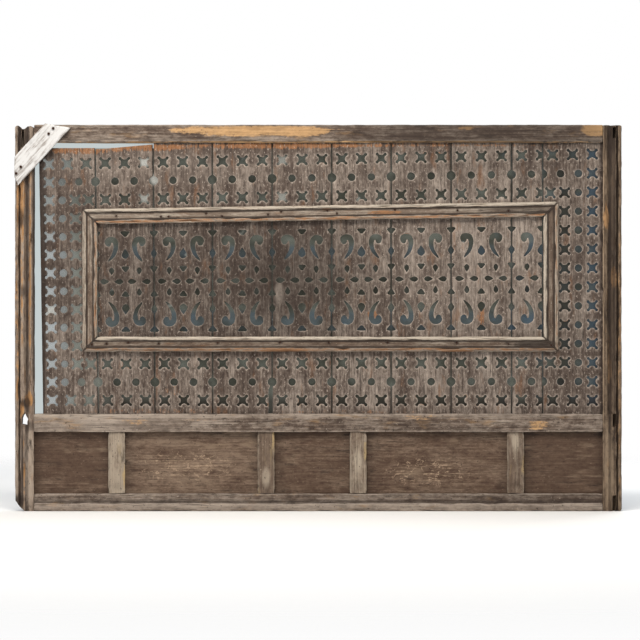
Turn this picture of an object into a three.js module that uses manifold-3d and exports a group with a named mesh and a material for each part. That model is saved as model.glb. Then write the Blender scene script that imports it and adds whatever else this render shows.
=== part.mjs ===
// A pierced wooden screen panel for a window bay, seen from the street side.
// A long low frame of two stiles and three rails holds ten upright sawn boards above and five plain
// panels below. The boards are pierced with rings of crosses and round holes about a raised, mitred
// moulding, and inside it with commas, drops and triangles. A lath is nailed across the
// upper left corner, where the boards have shrunk away from the frame.
// Millimetres. x runs to the right, z up, and the front faces -y. The origin is the middle of the
// bottom rail's underside, where the panel sits on its sill.
import * as THREE from "three";
import { mergeVertices } from "three/addons/utils/BufferGeometryUtils.js";
import Module from "manifold-3d";

const wasm = await Module();
wasm.setup();

// Overall sizes
const WIDTH = 1824;
const HEIGHT = 1161;
const FRAME_DEPTH = 44;
const FIT = 0.4; // clearance between pieces that touch
const REACH = 5; // how far a cutting solid runs past what it cuts

// Rails
const TOP_RAIL_HEIGHT = 55;
const TOP_RAIL_CHAMFER = 5; // on its lower front arris
const MIDDLE_RAIL_HEIGHT = 56;
const PANEL_OPENING_HEIGHT = 184;
const BOTTOM_RAIL_HEIGHT = 53;
const NOSING_HEIGHT = 24; // rounded lower part of the bottom rail
const NOSING_SET_BACK = 5; // how far the rail's upper face lies behind the nosing
const NOSING_STEPS = 4;
const TENON_LENGTH = 20;
const TENON_THICKNESS = 14;
const TENON_SHOULDER = 2; // from the grooves to the tenon's edges

// Stile section, from its inner edge outwards
const STILE_WIDTH = 58;
const INNER_RIDGE = 12;
const HOLLOW_WIDTH = 18;
const HOLLOW_DEPTH = 7;
const HOLLOW_SLOPE = 3;
const MIDDLE_RIDGE = 12;
const QUIRK_WIDTH = 4;
const QUIRK_DEPTH = 11;
const OUTER_BEAD_DROP = 4; // the outer bead's edges lie this far behind its crown

// Wear and loss of the stiles
const LEFT_HEAD_WEAR = [[0, 9], [20, 5], [34, 16], [46, 3], [58, 8]]; // from inner edge, from top
const RIGHT_HEAD_WEAR = [[0, 2], [18, 1], [30, 8], [42, 1], [58, 4]];
const WORN_FOOT = 30; // rotted outer corner at the foot of the left stile
const BREAK_FROM = 20; // the left stile is broken through beside the middle rail
const BREAK_TO = 37;
const BREAK_BELOW = 5;
const BREAK_ABOVE = 30;
const OPEN_MORTISE_DEPTH = 24;
// Mortises that have come open in the middle ridge, from below to above the middle of each rail
const LEFT_OPEN_MORTISES = [{ beside: "top", below: 43, above: 11 }];
const RIGHT_OPEN_MORTISES = [
  { beside: "bottom", below: 30, above: 18 },
  { beside: "middle", below: 11, above: 27 },
  { beside: "top", below: 10, above: 20 },
];

// Sawn boards
const BOARD_THICKNESS = 20;
const BOARD_SET_BACK = 10; // behind the rails' face
const HOUSING_DEPTH = 8; // how far boards and panels stand in their grooves
const BOARD_JOINT = 2.4; // open joint between boards
const SHRINK_GAP = 20; // daylight between the left stile and the first board
const BOARD_SHARES = [0.935, 0.96, 0.98, 1, 1, 0.995, 1.005, 1.015, 0.52, 1];
const JOINT_LEAN = [13, 10, 6, 2]; // how far the first joints lean to the right at the foot
const DROPPED_TOPS = [[15, 15], [19, 4]]; // how far the first boards have slipped below the rail
const SPLIT_BOARD = 3; // it has lost a strip at the foot of its right edge
const SPLIT_SHARE = 0.8; // of the wood between its last crosses and that edge
const SPLIT_HEIGHT = 92;
const SPLIT_RISE = 20; // the split runs out upwards over this height

// Rows of holes. They were marked out by eye and spread a little towards the right.
const HOLE_ROWS = 14;
const FOOT_MARGIN = 39;
const LEFT_HEAD_MARGIN = 64;
const RIGHT_HEAD_MARGIN = 33;
// Columns in the two end boards, as shares of their width from the stile
const END_CROSS_SHARE = 1 / 6;
const END_ROUND_SHARE = 0.4;
const END_INNER_CROSS_SHARE = 0.63;
const END_SECOND_ROUND_SHARE = 0.7;
const END_THIRD_CROSS_SHARE = 0.87;

// Holes
const CROSS_REACH = 16; // from the centre to each lobe's tip, along x and z
const CROSS_PINCH = 8; // half the opening between two lobes
const ROUND_RADIUS = 11.8;
const JOINT_ROUND_RADIUS = 14;
const ROUND_SIDES = 6;
const OUTER_TRIANGLE = { width: 35, height: 20 };
const INNER_TRIANGLE = { width: 30, height: 21 };
const DROP_WIDTH = 23;
const DROP_LENGTH = 32;
const DROP_BELLY = 0.3; // height of its widest place, as a share of its length
// An upper left comma, about its own middle: round the bulb, over the shoulder, down the back to
// the tail and up the inner side
const COMMA = [
  [-20, 20],
  [-9, 37],
  [14, 35],
  [21, 8],
  [12, -23],
  [-4, -38],
  [5, 15],
  [-9, 10],
];

// Places in the middle field, in rows above and below its axis
const OUTER_TRIANGLE_ROW = 2.57;
const COMMA_ROW = 1.78;
const DROP_ROW = 1.52;
const INNER_TRIANGLE_ROW = 0.64;
const COMMA_SHARE = 0.26; // of a board's width, from either side

// Raised moulding: a bead along each edge and a flat between them
const MOULDING_WIDTH = 46;
const MOULDING_EDGE = 9;
const BEAD_HEIGHT = 14;
const BEAD_WIDTH = 13;
const BEAD_ROUNDING = 4;
const MOULDING_FLAT = 10;
const MOULDING_ABOVE_ROW = 35; // from the third row of holes to its lower edge
const MOULDING_BELOW_ROW = 27; // from the third row from the top to its upper edge
const MOULDING_BESIDE_COLUMN = 19;

// Muntins and lower panels
const MUNTIN_WIDTH = 52;
const MUNTIN_PLACES = [0.145, 0.408, 0.57, 0.847]; // centres, as shares of the opening's width
const PANEL_THICKNESS = 12;
const PANEL_SET_BACK = 16;

// Lath and its nails. Places are measured in from the frame's side and down from its top.
const LATH_WIDTH = 66;
const LATH_THICKNESS = 14;
const LATH_FOOT = [-3, 150];
const LATH_HEAD = [130, 4];
const LATH_FOOT_SKEW = 15; // its ends are sawn out of square by this much each way
const LATH_HEAD_SKEW = 21;
const NAIL_HEAD_RADIUS = 4.5;
const NAIL_HEAD_THICKNESS = 2;
const NAIL_SHANK = 3;
const NAIL_LENGTH = 38;
const HEAD_NAILS = [[15, -4], [36, -3]]; // from the lath's head, and across its middle line
const FOOT_NAILS = [[32, 2], [8, 5]]; // from its foot

// Places that follow from the sizes
const front = -FRAME_DEPTH / 2;
const back = FRAME_DEPTH / 2;
const openingLeft = -WIDTH / 2 + STILE_WIDTH;
const openingRight = WIDTH / 2 - STILE_WIDTH;
const panelFoot = BOTTOM_RAIL_HEIGHT;
const panelHead = panelFoot + PANEL_OPENING_HEIGHT;
const fieldFoot = panelHead + MIDDLE_RAIL_HEIGHT;
const fieldHead = HEIGHT - TOP_RAIL_HEIGHT;
const rails = {
  bottom: { foot: 0, head: panelFoot },
  middle: { foot: panelHead, head: fieldFoot },
  top: { foot: fieldHead, head: HEIGHT },
};
const middleOf = ({ foot, head }) => (foot + head) / 2;
const grooveDepth = HOUSING_DEPTH + FIT;
const boards = { front: front + BOARD_SET_BACK, back: front + BOARD_SET_BACK + BOARD_THICKNESS };
const panels = { front: front + PANEL_SET_BACK, back: front + PANEL_SET_BACK + PANEL_THICKNESS };

// Solids

// A closed three.js geometry as a solid that can be joined and cut.
function solid(geometry) {
  geometry.deleteAttribute("normal");
  geometry.deleteAttribute("uv");
  const merged = mergeVertices(geometry, 1e-3);
  return new wasm.Manifold(
    new wasm.Mesh({
      numProp: 3,
      vertProperties: merged.attributes.position.array,
      triVerts: new Uint32Array(merged.index.array),
    }),
  );
}

// A solid as a geometry with flat faces.
function geometryOf(made) {
  const { vertProperties, triVerts } = made.getMesh();
  const indexed = new THREE.BufferGeometry();
  indexed.setAttribute("position", new THREE.BufferAttribute(vertProperties, 3));
  indexed.setIndex(new THREE.BufferAttribute(triVerts, 1));
  const flat = indexed.toNonIndexed();
  flat.computeVertexNormals();
  return flat;
}

const cutAll = (made, cuts) => cuts.reduce((left, cut) => left.subtract(cut), made);

// A box between two corners, given as pairs of places along each axis.
function block([x0, x1], [y0, y1], [z0, z1]) {
  const box = new THREE.BoxGeometry(Math.abs(x1 - x0), y1 - y0, z1 - z0);
  return solid(box.translate((x0 + x1) / 2, (y0 + y1) / 2, (z0 + z1) / 2));
}

function extruded(outlines, depth) {
  const shapes = outlines.map((points) => new THREE.Shape(points.map(([a, b]) => new THREE.Vector2(a, b))));
  return new THREE.ExtrudeGeometry(shapes, { depth, bevelEnabled: false });
}

const alongAxis = (across, up, run) => new THREE.Matrix4().makeBasis(across, up, run);
const X = new THREE.Vector3(1, 0, 0);
const Y = new THREE.Vector3(0, 1, 0);
const Z = new THREE.Vector3(0, 0, 1);
const FORWARD = new THREE.Vector3(0, -1, 0);

// Outlines in x and z, as seen from the front, carried through from y0 back to y1.
function throughDepth(outlines, [y0, y1]) {
  const run = extruded(outlines, y1 - y0).applyMatrix4(alongAxis(X, Z, FORWARD));
  return solid(run.translate(0, y1, 0));
}

// A section in y and z, run along x.
function alongX(section, [x0, x1]) {
  return solid(extruded([section], x1 - x0).applyMatrix4(alongAxis(Y, Z, X)).translate(x0, 0, 0));
}

// A section in x and y, run up z.
function alongZ(section, [z0, z1]) {
  return solid(extruded([section], z1 - z0).translate(0, 0, z0));
}

const screen = new THREE.Group();

// A named mesh whose geometry is about its own middle, set in its place by its position.
function place(name, made, material, parent) {
  const geometry = geometryOf(made);
  geometry.computeBoundingBox();
  const middle = geometry.boundingBox.getCenter(new THREE.Vector3());
  const mesh = new THREE.Mesh(geometry.translate(-middle.x, -middle.y, -middle.z), material);
  mesh.name = name;
  mesh.position.copy(middle);
  parent.add(mesh);
}

function group() {
  const made = new THREE.Group();
  screen.add(made);
  return made;
}

const finish = (color, roughness, metalness = 0) =>
  new THREE.MeshStandardMaterial({ color, roughness, metalness });
const frameWood = finish(0x76675b, 0.85);
const stileWood = finish(0x705c4d, 0.85);
const boardWood = finish(0x786b61, 0.9);
const mouldingWood = finish(0x8c7b6c, 0.85);
const panelWood = finish(0x685548, 0.8);
const lathPaint = finish(0xd9d7d4, 0.6);
const rustyIron = finish(0x4a3a30, 0.75, 0.6);

// Lath across the corner, and the nails that hold it

const cornerX = -WIDTH / 2;
const lathHead = new THREE.Vector2(cornerX + LATH_HEAD[0], HEIGHT - LATH_HEAD[1]);
const lathFoot = new THREE.Vector2(cornerX + LATH_FOOT[0], HEIGHT - LATH_FOOT[1]);
const lathUp = lathHead.clone().sub(lathFoot).normalize();
const lathAcross = new THREE.Vector2(lathUp.y, -lathUp.x);
const lathFaces = [front - FIT - LATH_THICKNESS, front - FIT];

// A place on the lath, from one of its ends.
function onLath(end, along, across) {
  const at = end.clone().addScaledVector(lathUp, along).addScaledVector(lathAcross, across);
  return [at.x, at.y];
}

const nailPlaces = [
  ...HEAD_NAILS.map(([along, across]) => onLath(lathHead, -along, across)),
  ...FOOT_NAILS.map(([along, across]) => onLath(lathFoot, along, across)),
];
const nailTip = lathFaces[0] - FIT + NAIL_LENGTH;

// A square shank, or with a clearance the hole that it stands in.
function shank([x, z], start, clearance) {
  const half = NAIL_SHANK / 2 + clearance;
  return block([x - half, x + half], [start, nailTip + clearance], [z - half, z + half]);
}
const nailHoles = nailPlaces.map((at) => shank(at, lathFaces[0] - REACH, FIT));

function lath() {
  const half = LATH_WIDTH / 2;
  const outline = [
    onLath(lathFoot, LATH_FOOT_SKEW, -half),
    onLath(lathFoot, -LATH_FOOT_SKEW, half),
    onLath(lathHead, LATH_HEAD_SKEW, half),
    onLath(lathHead, -LATH_HEAD_SKEW, -half),
  ];
  const strip = throughDepth([outline], lathFaces);
  const beyondSide = block([cornerX - LATH_WIDTH * 2, cornerX], [lathFaces[0] - REACH, front], [0, HEIGHT]);
  return cutAll(strip, [beyondSide, ...nailHoles]);
}

function nail(at) {
  const sides = 6;
  const disc = new THREE.CylinderGeometry(NAIL_HEAD_RADIUS, NAIL_HEAD_RADIUS, NAIL_HEAD_THICKNESS, sides);
  const middle = lathFaces[0] - FIT - NAIL_HEAD_THICKNESS / 2;
  return solid(disc.translate(at[0], middle, at[1])).add(shank(at, middle, 0));
}

const repair = group();
place("corner_brace", lath(), lathPaint, repair);
nailPlaces.forEach((at, i) => place(`brace_nail_${i + 1}`, nail(at), rustyIron, repair));

// Frame

const frame = group();
const acrossFrame = [openingLeft - STILE_WIDTH, openingRight + STILE_WIDTH];
const betweenStiles = [openingLeft + FIT, openingRight - FIT];
const tenonMiddle = (boards.front + boards.back) / 2;

const grooveFaces = (held) => [held.front - FIT, held.back + FIT];

// The groove for the boards or panels along a rail's edge, running up or down into the rail.
function plough(held, edge, direction) {
  const ends = [edge + direction * grooveDepth, edge - direction * REACH];
  return block(acrossFrame, grooveFaces(held), [Math.min(...ends), Math.max(...ends)]);
}

// A rail's tenon between two places along x, or with a clearance the mortise for it.
function tenon({ foot, head }, along, clearance) {
  const half = TENON_THICKNESS / 2 + clearance;
  const inset = grooveDepth + TENON_SHOULDER - clearance;
  return block(along, [tenonMiddle - half, tenonMiddle + half], [foot + inset, head - inset]);
}

function rail(section, level, grooves) {
  const body = cutAll(alongX(section, betweenStiles), grooves);
  return body.add(tenon(level, [openingLeft - TENON_LENGTH, openingRight + TENON_LENGTH], 0));
}

function topRail() {
  const section = [
    [front + TOP_RAIL_CHAMFER, fieldHead],
    [back, fieldHead],
    [back, HEIGHT],
    [front, HEIGHT],
    [front, fieldHead + TOP_RAIL_CHAMFER],
  ];
  return cutAll(rail(section, rails.top, [plough(boards, fieldHead, 1)]), nailHoles);
}

function middleRail() {
  const section = [
    [front, panelHead],
    [back, panelHead],
    [back, fieldFoot],
    [front, fieldFoot],
  ];
  return rail(section, rails.middle, [plough(boards, fieldFoot, -1), plough(panels, panelHead, 1)]);
}

function bottomRail() {
  const upperFace = front + NOSING_SET_BACK;
  const section = [
    [front, 0],
    [back, 0],
    [back, panelFoot],
    [upperFace, panelFoot],
  ];
  for (let i = 0; i <= NOSING_STEPS; i++) {
    const turn = (Math.PI / 2) * (i / NOSING_STEPS);
    const y = upperFace - NOSING_SET_BACK * Math.sin(turn);
    section.push([y, NOSING_HEIGHT - NOSING_SET_BACK * (1 - Math.cos(turn))]);
  }
  return rail(section, rails.bottom, [plough(panels, panelFoot, -1)]);
}

place("bottom_rail", bottomRail(), frameWood, frame);
place("middle_rail", middleRail(), frameWood, frame);
place("top_rail", topRail(), frameWood, frame);

// Stiles. side is -1 on the left and 1 on the right, and u runs outwards from the inner edge.

const ridgeStart = INNER_RIDGE + HOLLOW_WIDTH;
const quirkStart = ridgeStart + MIDDLE_RIDGE;
const beadStart = quirkStart + QUIRK_WIDTH;

function stile(side, headWear, openMortises) {
  const at = (u) => side * (WIDTH / 2 - STILE_WIDTH + u);
  const section = [
    [0, front],
    [quirkStart, front],
    [quirkStart, front + QUIRK_DEPTH],
    [beadStart, front + QUIRK_DEPTH],
    [beadStart, front + OUTER_BEAD_DROP],
    [(beadStart + STILE_WIDTH) / 2, front],
    [STILE_WIDTH, front + OUTER_BEAD_DROP],
    [STILE_WIDTH, back],
    [0, back],
  ];
  const hollow = [
    [INNER_RIDGE, front - REACH],
    [ridgeStart, front - REACH],
    [ridgeStart, front],
    [ridgeStart - HOLLOW_SLOPE, front + HOLLOW_DEPTH],
    [INNER_RIDGE + HOLLOW_SLOPE, front + HOLLOW_DEPTH],
    [INNER_RIDGE, front],
  ];
  const sided = (points) => points.map(([u, y]) => [at(u), y]);
  const worn = [
    ...headWear.map(([u, drop]) => [at(u), HEIGHT - drop]),
    [at(STILE_WIDTH + REACH), HEIGHT + REACH],
    [at(-REACH), HEIGHT + REACH],
  ];
  const cuts = [
    alongZ(sided(hollow), [fieldFoot, HEIGHT + REACH]),
    throughDepth([worn], [front - REACH, back + REACH]),
    ...Object.values(rails).map((level) => tenon(level, [at(-REACH), at(TENON_LENGTH + FIT)], FIT)),
  ];
  for (const { beside, below, above } of openMortises) {
    const middle = middleOf(rails[beside]);
    const across = [at(ridgeStart), at(quirkStart)];
    const deep = [front - REACH, front + OPEN_MORTISE_DEPTH];
    cuts.push(block(across, deep, [middle - below, middle + above]));
  }
  const grooveAcross = [at(-REACH), at(grooveDepth)];
  const fieldRange = [fieldFoot - grooveDepth, fieldHead + grooveDepth];
  const panelRange = [panelFoot - grooveDepth, panelHead + grooveDepth];
  cuts.push(block(grooveAcross, grooveFaces(boards), fieldRange));
  cuts.push(block(grooveAcross, grooveFaces(panels), panelRange));
  return cutAll(alongZ(sided(section), [0, HEIGHT]), cuts);
}

// The break beside the middle rail, right through the left stile.
function brokenThrough() {
  const middle = middleOf(rails.middle);
  const halfway = (BREAK_FROM + BREAK_TO) / 2;
  const outline = [
    [openingLeft - BREAK_FROM, middle - BREAK_BELOW],
    [openingLeft - BREAK_FROM, middle + BREAK_ABOVE / 2],
    [openingLeft - halfway, middle + BREAK_ABOVE],
    [openingLeft - BREAK_TO, middle + BREAK_ABOVE / 2],
    [openingLeft - BREAK_TO, middle - BREAK_BELOW],
  ];
  return throughDepth([outline], [front - REACH, back + REACH]);
}

function rottedFoot() {
  const outline = [
    [cornerX - REACH, -REACH],
    [cornerX + WORN_FOOT, -REACH],
    [cornerX, WORN_FOOT + REACH],
    [cornerX - REACH, WORN_FOOT + REACH],
  ];
  return throughDepth([outline], [front - REACH, back + REACH]);
}

const leftLosses = [brokenThrough(), rottedFoot(), ...nailHoles];
const leftStile = cutAll(stile(-1, LEFT_HEAD_WEAR, LEFT_OPEN_MORTISES), leftLosses);
place("left_stile", leftStile, stileWood, frame);
place("right_stile", stile(1, RIGHT_HEAD_WEAR, RIGHT_OPEN_MORTISES), stileWood, frame);

// Muntins and lower panels

const lower = group();
const housedRange = [panelFoot - HOUSING_DEPTH, panelHead + HOUSING_DEPTH];
const muntinEdges = MUNTIN_PLACES.map((share) => {
  const centre = openingLeft + share * (openingRight - openingLeft);
  return [centre - MUNTIN_WIDTH / 2, centre + MUNTIN_WIDTH / 2];
});

muntinEdges.forEach(([x0, x1], i) => {
  const body = block([x0, x1], [front + NOSING_SET_BACK, back], [panelFoot + FIT, panelHead - FIT]);
  const stubs = block([x0, x1], [panels.front, panels.back], housedRange);
  const cutRange = [housedRange[0] - REACH, housedRange[1] + REACH];
  const grooves = [
    block([x0 - REACH, x0 + grooveDepth], grooveFaces(panels), cutRange),
    block([x1 - grooveDepth, x1 + REACH], grooveFaces(panels), cutRange),
  ];
  place(`muntin_${i + 1}`, cutAll(body.add(stubs), grooves), frameWood, lower);
});

const panelSides = [openingLeft, ...muntinEdges.flat(), openingRight];
for (let i = 0; i < panelSides.length; i += 2) {
  const across = [panelSides[i] - HOUSING_DEPTH, panelSides[i + 1] + HOUSING_DEPTH];
  const panel = block(across, [panels.front, panels.back], housedRange);
  place(`lower_panel_${i / 2 + 1}`, panel, panelWood, lower);
}

// Sawn boards

const sawn = group();
const lastBoard = BOARD_SHARES.length - 1;
const shareSum = BOARD_SHARES.reduce((sum, share) => sum + share, 0);
const fullBoard = (openingRight - openingLeft - SHRINK_GAP) / shareSum;
// The boards' left edges at half height, with the right-hand stile's edge at the end
const joints = [openingLeft + SHRINK_GAP];
for (const share of BOARD_SHARES) {
  joints.push(joints.at(-1) + share * fullBoard);
}

function jointAt(index, z) {
  const up = (z - fieldFoot) / (fieldHead - fieldFoot);
  return joints[index] + (JOINT_LEAN[index] ?? 0) * (0.5 - up);
}

// The height of a row of holes at a place along x. Rows are counted from the lowest, as row 0.
const topRow = HOLE_ROWS - 1;
function rowAt(row, x) {
  const across = (x - joints[0]) / (openingRight - joints[0]);
  const headMargin = THREE.MathUtils.lerp(LEFT_HEAD_MARGIN, RIGHT_HEAD_MARGIN, across);
  const pitch = (fieldHead - fieldFoot - FOOT_MARGIN - headMargin) / topRow;
  return fieldFoot + FOOT_MARGIN + row * pitch;
}

// A place on a board, from its left joint in shares of its width. The narrow board was ripped from
// a full one after it was marked out, so its holes keep a full board's places.
function onBoard(index, share, row) {
  const ripped = BOARD_SHARES[index] < 1 / 1.5;
  const width = ripped ? fullBoard : joints[index + 1] - joints[index];
  const z = rowAt(row, joints[index] + share * width);
  const left = jointAt(index, z);
  return [ripped ? left + share * width : left + share * (jointAt(index + 1, z) - left), z];
}

// Hole outlines, each about its own centre

const cross = [];
for (let i = 0; i < 4; i++) {
  const turn = (Math.PI / 2) * i;
  cross.push([CROSS_PINCH * Math.cos(turn), CROSS_PINCH * Math.sin(turn)]);
  const lobe = turn + Math.PI / 4;
  cross.push([Math.SQRT2 * CROSS_REACH * Math.cos(lobe), Math.SQRT2 * CROSS_REACH * Math.sin(lobe)]);
}

function round(radius) {
  const points = [];
  for (let i = 0; i < ROUND_SIDES; i++) {
    const turn = (2 * Math.PI * (i + 0.5)) / ROUND_SIDES;
    points.push([radius * Math.cos(turn), radius * Math.sin(turn)]);
  }
  return points;
}
const smallRound = round(ROUND_RADIUS);
const jointRound = round(JOINT_ROUND_RADIUS);

// Triangles and drops point up.
const triangle = ({ width, height }) => [
  [-width / 2, -height / 2],
  [width / 2, -height / 2],
  [0, height / 2],
];
const drop = [
  [0, -DROP_LENGTH / 2],
  [DROP_WIDTH / 2, (DROP_BELLY - 0.5) * DROP_LENGTH],
  [0, DROP_LENGTH / 2],
  [-DROP_WIDTH / 2, (DROP_BELLY - 0.5) * DROP_LENGTH],
];
const lozenge = [
  [0, -DROP_LENGTH / 2],
  [DROP_WIDTH / 2, 0],
  [0, DROP_LENGTH / 2],
  [-DROP_WIDTH / 2, 0],
];

const mirrored = (outline, flipX, flipZ) => outline.map(([a, b]) => [a * flipX, b * flipZ]);

// The crosses and rounds round the edge of the whole field
function borderHoles(index, cut) {
  const thirds = [1 / 3, 2 / 3];
  const sixths = [1 / 6, 1 / 2, 5 / 6];
  const isEnd = index === 0 || index === lastBoard;
  const fromStile = (share) => (index === 0 ? share : 1 - share);
  for (let row = 0; row <= topRow; row++) {
    const ring = Math.min(row, topRow - row);
    let crosses = [];
    let rounds = [];
    if (ring === 0) crosses = sixths;
    else if (isEnd) {
      crosses = [END_CROSS_SHARE];
      rounds = [END_ROUND_SHARE];
      if (ring === 1) rounds.push(END_SECOND_ROUND_SHARE);
      else crosses.push(END_INNER_CROSS_SHARE);
      if (ring === 2) crosses.push(END_THIRD_CROSS_SHARE);
    } else if (ring === 1) rounds = thirds;
    else if (ring === 2) crosses = sixths;
    for (const share of crosses) cut(cross, isEnd ? fromStile(share) : share, row);
    for (const share of rounds) cut(smallRound, isEnd ? fromStile(share) : share, row);
    if (ring === 1 && index > 0) cut(jointRound, 0, row);
    if (ring === 1 && index < lastBoard) cut(jointRound, 1, row);
  }
}

// The pattern inside the moulding, mirrored above and below its axis
function fieldHoles(index, cut) {
  const axis = topRow / 2;
  for (const half of [1, -1]) {
    for (const share of [0, 1 / 2, 1]) {
      cut(mirrored(triangle(OUTER_TRIANGLE), 1, -half), share, axis + half * OUTER_TRIANGLE_ROW);
      cut(mirrored(triangle(INNER_TRIANGLE), 1, -half), share, axis + half * INNER_TRIANGLE_ROW);
      const hole = share === 1 / 2 ? mirrored(drop, 1, half) : lozenge;
      cut(hole, share, axis + half * DROP_ROW);
    }
    for (const side of [1, -1]) {
      const share = side > 0 ? COMMA_SHARE : 1 - COMMA_SHARE;
      cut(mirrored(COMMA, side, half), share, axis + half * COMMA_ROW);
    }
  }
}

function boardBlank(index) {
  const foot = fieldFoot - HOUSING_DEPTH;
  const drops = DROPPED_TOPS[index] ?? [-HOUSING_DEPTH, -HOUSING_DEPTH];
  const [leftHead, rightHead] = drops.map((drop) => fieldHead - drop);
  const left = (z) => jointAt(index, z) + (index > 0 ? BOARD_JOINT / 2 : 0);
  const right = (z) =>
    index < lastBoard ? jointAt(index + 1, z) - BOARD_JOINT / 2 : openingRight + HOUSING_DEPTH;
  const outline = [
    [left(foot), foot],
    [right(foot), foot],
    [right(rightHead), rightHead],
    [left(leftHead), leftHead],
  ];
  const blank = throughDepth([outline], [boards.front, boards.back]);
  if (index !== SPLIT_BOARD) return blank;
  const edge = right(fieldFoot);
  const splitWidth = SPLIT_SHARE * (fullBoard / 6 - CROSS_REACH - BOARD_JOINT / 2);
  const split = [
    [edge - splitWidth, foot - REACH],
    [edge + REACH, foot - REACH],
    [edge + REACH, fieldFoot + SPLIT_HEIGHT],
    [edge, fieldFoot + SPLIT_HEIGHT],
    [edge - splitWidth, fieldFoot + SPLIT_HEIGHT - SPLIT_RISE],
  ];
  return blank.subtract(throughDepth([split], [boards.front - REACH, boards.back + REACH]));
}

BOARD_SHARES.forEach((share, index) => {
  const holes = [];
  const cut = (outline, at, row) => {
    const [x, z] = onBoard(index, at, row);
    holes.push(outline.map(([a, b]) => [x + a, z + b]));
  };
  borderHoles(index, cut);
  if (index > 0 && index < lastBoard) fieldHoles(index, cut);
  const pierced = throughDepth(holes, [boards.front - REACH, boards.back + REACH]);
  place(`fret_board_${index + 1}`, boardBlank(index).subtract(pierced), boardWood, sawn);
});

// Raised moulding

const mouldingSection = [
  [0, 0],
  [0, MOULDING_EDGE],
  [BEAD_ROUNDING, BEAD_HEIGHT],
  [BEAD_WIDTH - BEAD_ROUNDING, BEAD_HEIGHT],
  [BEAD_WIDTH, MOULDING_FLAT],
  [MOULDING_WIDTH - BEAD_WIDTH, MOULDING_FLAT],
  [MOULDING_WIDTH - BEAD_WIDTH + BEAD_ROUNDING, BEAD_HEIGHT],
  [MOULDING_WIDTH - BEAD_ROUNDING, BEAD_HEIGHT],
  [MOULDING_WIDTH, MOULDING_EDGE],
  [MOULDING_WIDTH, 0],
];

// One member between two mitres, each a line from an outer to an inner corner. The members run
// anticlockwise as seen from the front.
function mitred(start, end) {
  const along = end.outer.clone().sub(start.outer).normalize();
  const geometry = extruded([mouldingSection], 1);
  const position = geometry.attributes.position;
  for (let i = 0; i < position.count; i++) {
    const atEnd = position.getZ(i) > 0.5;
    const mitre = atEnd ? end : start;
    const at = mitre.outer.clone().lerp(mitre.inner, position.getX(i) / MOULDING_WIDTH);
    at.addScaledVector(along, atEnd ? -FIT : FIT);
    position.setXYZ(i, at.x, boards.front - FIT - position.getY(i), at.y);
  }
  return solid(geometry);
}

const endColumn = (index, share) => onBoard(index, share, topRow / 2)[0];
const mouldingLeft = endColumn(0, END_INNER_CROSS_SHARE) + MOULDING_BESIDE_COLUMN;
const mouldingRight = endColumn(lastBoard, 1 - END_INNER_CROSS_SHARE) - MOULDING_BESIDE_COLUMN;
const mouldingFoot = rowAt(2, 0) + MOULDING_ABOVE_ROW;
const mouldingHead = (x) => rowAt(topRow - 2, x) - MOULDING_BELOW_ROW;

function mitreAt(x, z, inwardX, inwardZ) {
  const inner = new THREE.Vector2(x + inwardX * MOULDING_WIDTH, z + inwardZ * MOULDING_WIDTH);
  return { outer: new THREE.Vector2(x, z), inner };
}
const mitres = [
  mitreAt(mouldingLeft, mouldingFoot, 1, 1),
  mitreAt(mouldingRight, mouldingFoot, -1, 1),
  mitreAt(mouldingRight, mouldingHead(mouldingRight), -1, -1),
  mitreAt(mouldingLeft, mouldingHead(mouldingLeft), 1, -1),
];
const raised = group();
["bottom", "right", "top", "left"].forEach((name, i) => {
  const member = mitred(mitres[i], mitres[(i + 1) % mitres.length]);
  place(`moulding_${name}`, member, mouldingWood, raised);
});

export default screen;
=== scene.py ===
# A pierced wooden screen from a window bay, old, weathered and repaired with a lath.
# Metres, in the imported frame: x to the right, z up, the front facing -y. The boards are marked out
# here as a joiner would, from the frame's opening, and then every piece is worn by noise.
import math
import bpy
import numpy as np
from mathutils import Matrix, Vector, kdtree, noise
from mathutils.geometry import delaunay_2d_cdt


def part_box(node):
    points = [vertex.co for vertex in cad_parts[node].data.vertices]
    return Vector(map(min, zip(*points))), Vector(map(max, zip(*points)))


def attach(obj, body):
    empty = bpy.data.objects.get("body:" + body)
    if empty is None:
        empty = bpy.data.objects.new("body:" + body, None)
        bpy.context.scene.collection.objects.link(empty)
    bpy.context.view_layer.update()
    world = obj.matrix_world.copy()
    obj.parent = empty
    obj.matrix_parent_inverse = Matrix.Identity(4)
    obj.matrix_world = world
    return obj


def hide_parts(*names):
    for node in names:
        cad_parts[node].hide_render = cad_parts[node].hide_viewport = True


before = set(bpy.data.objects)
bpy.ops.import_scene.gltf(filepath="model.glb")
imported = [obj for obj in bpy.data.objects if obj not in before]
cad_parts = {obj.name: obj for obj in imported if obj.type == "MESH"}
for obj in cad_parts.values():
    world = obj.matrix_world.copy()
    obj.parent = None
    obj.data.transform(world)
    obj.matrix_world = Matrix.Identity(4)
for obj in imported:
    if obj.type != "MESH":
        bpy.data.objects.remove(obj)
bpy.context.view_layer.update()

# Camera: level with the middle of the screen, square to it and far off behind a long lens, since
# the sides of the stiles hardly show. Its frame takes in a little under two metres at the screen.
CAMERA_DISTANCE = 9.0
VIEW_WIDTH = 1.922
VIEW_CENTRE = (0.005, 0.574)
face_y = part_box("right_stile")[0].y
camera_data = bpy.data.cameras.new("camera")
camera_data.sensor_width = 36
camera_data.lens = camera_data.sensor_width * CAMERA_DISTANCE / VIEW_WIDTH
camera = bpy.data.objects.new("camera", camera_data)
camera.location = (VIEW_CENTRE[0], face_y - CAMERA_DISTANCE, VIEW_CENTRE[1])
camera.rotation_euler = (math.radians(90), 0, 0)
bpy.context.scene.collection.objects.link(camera)
bpy.context.scene.camera = camera


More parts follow.
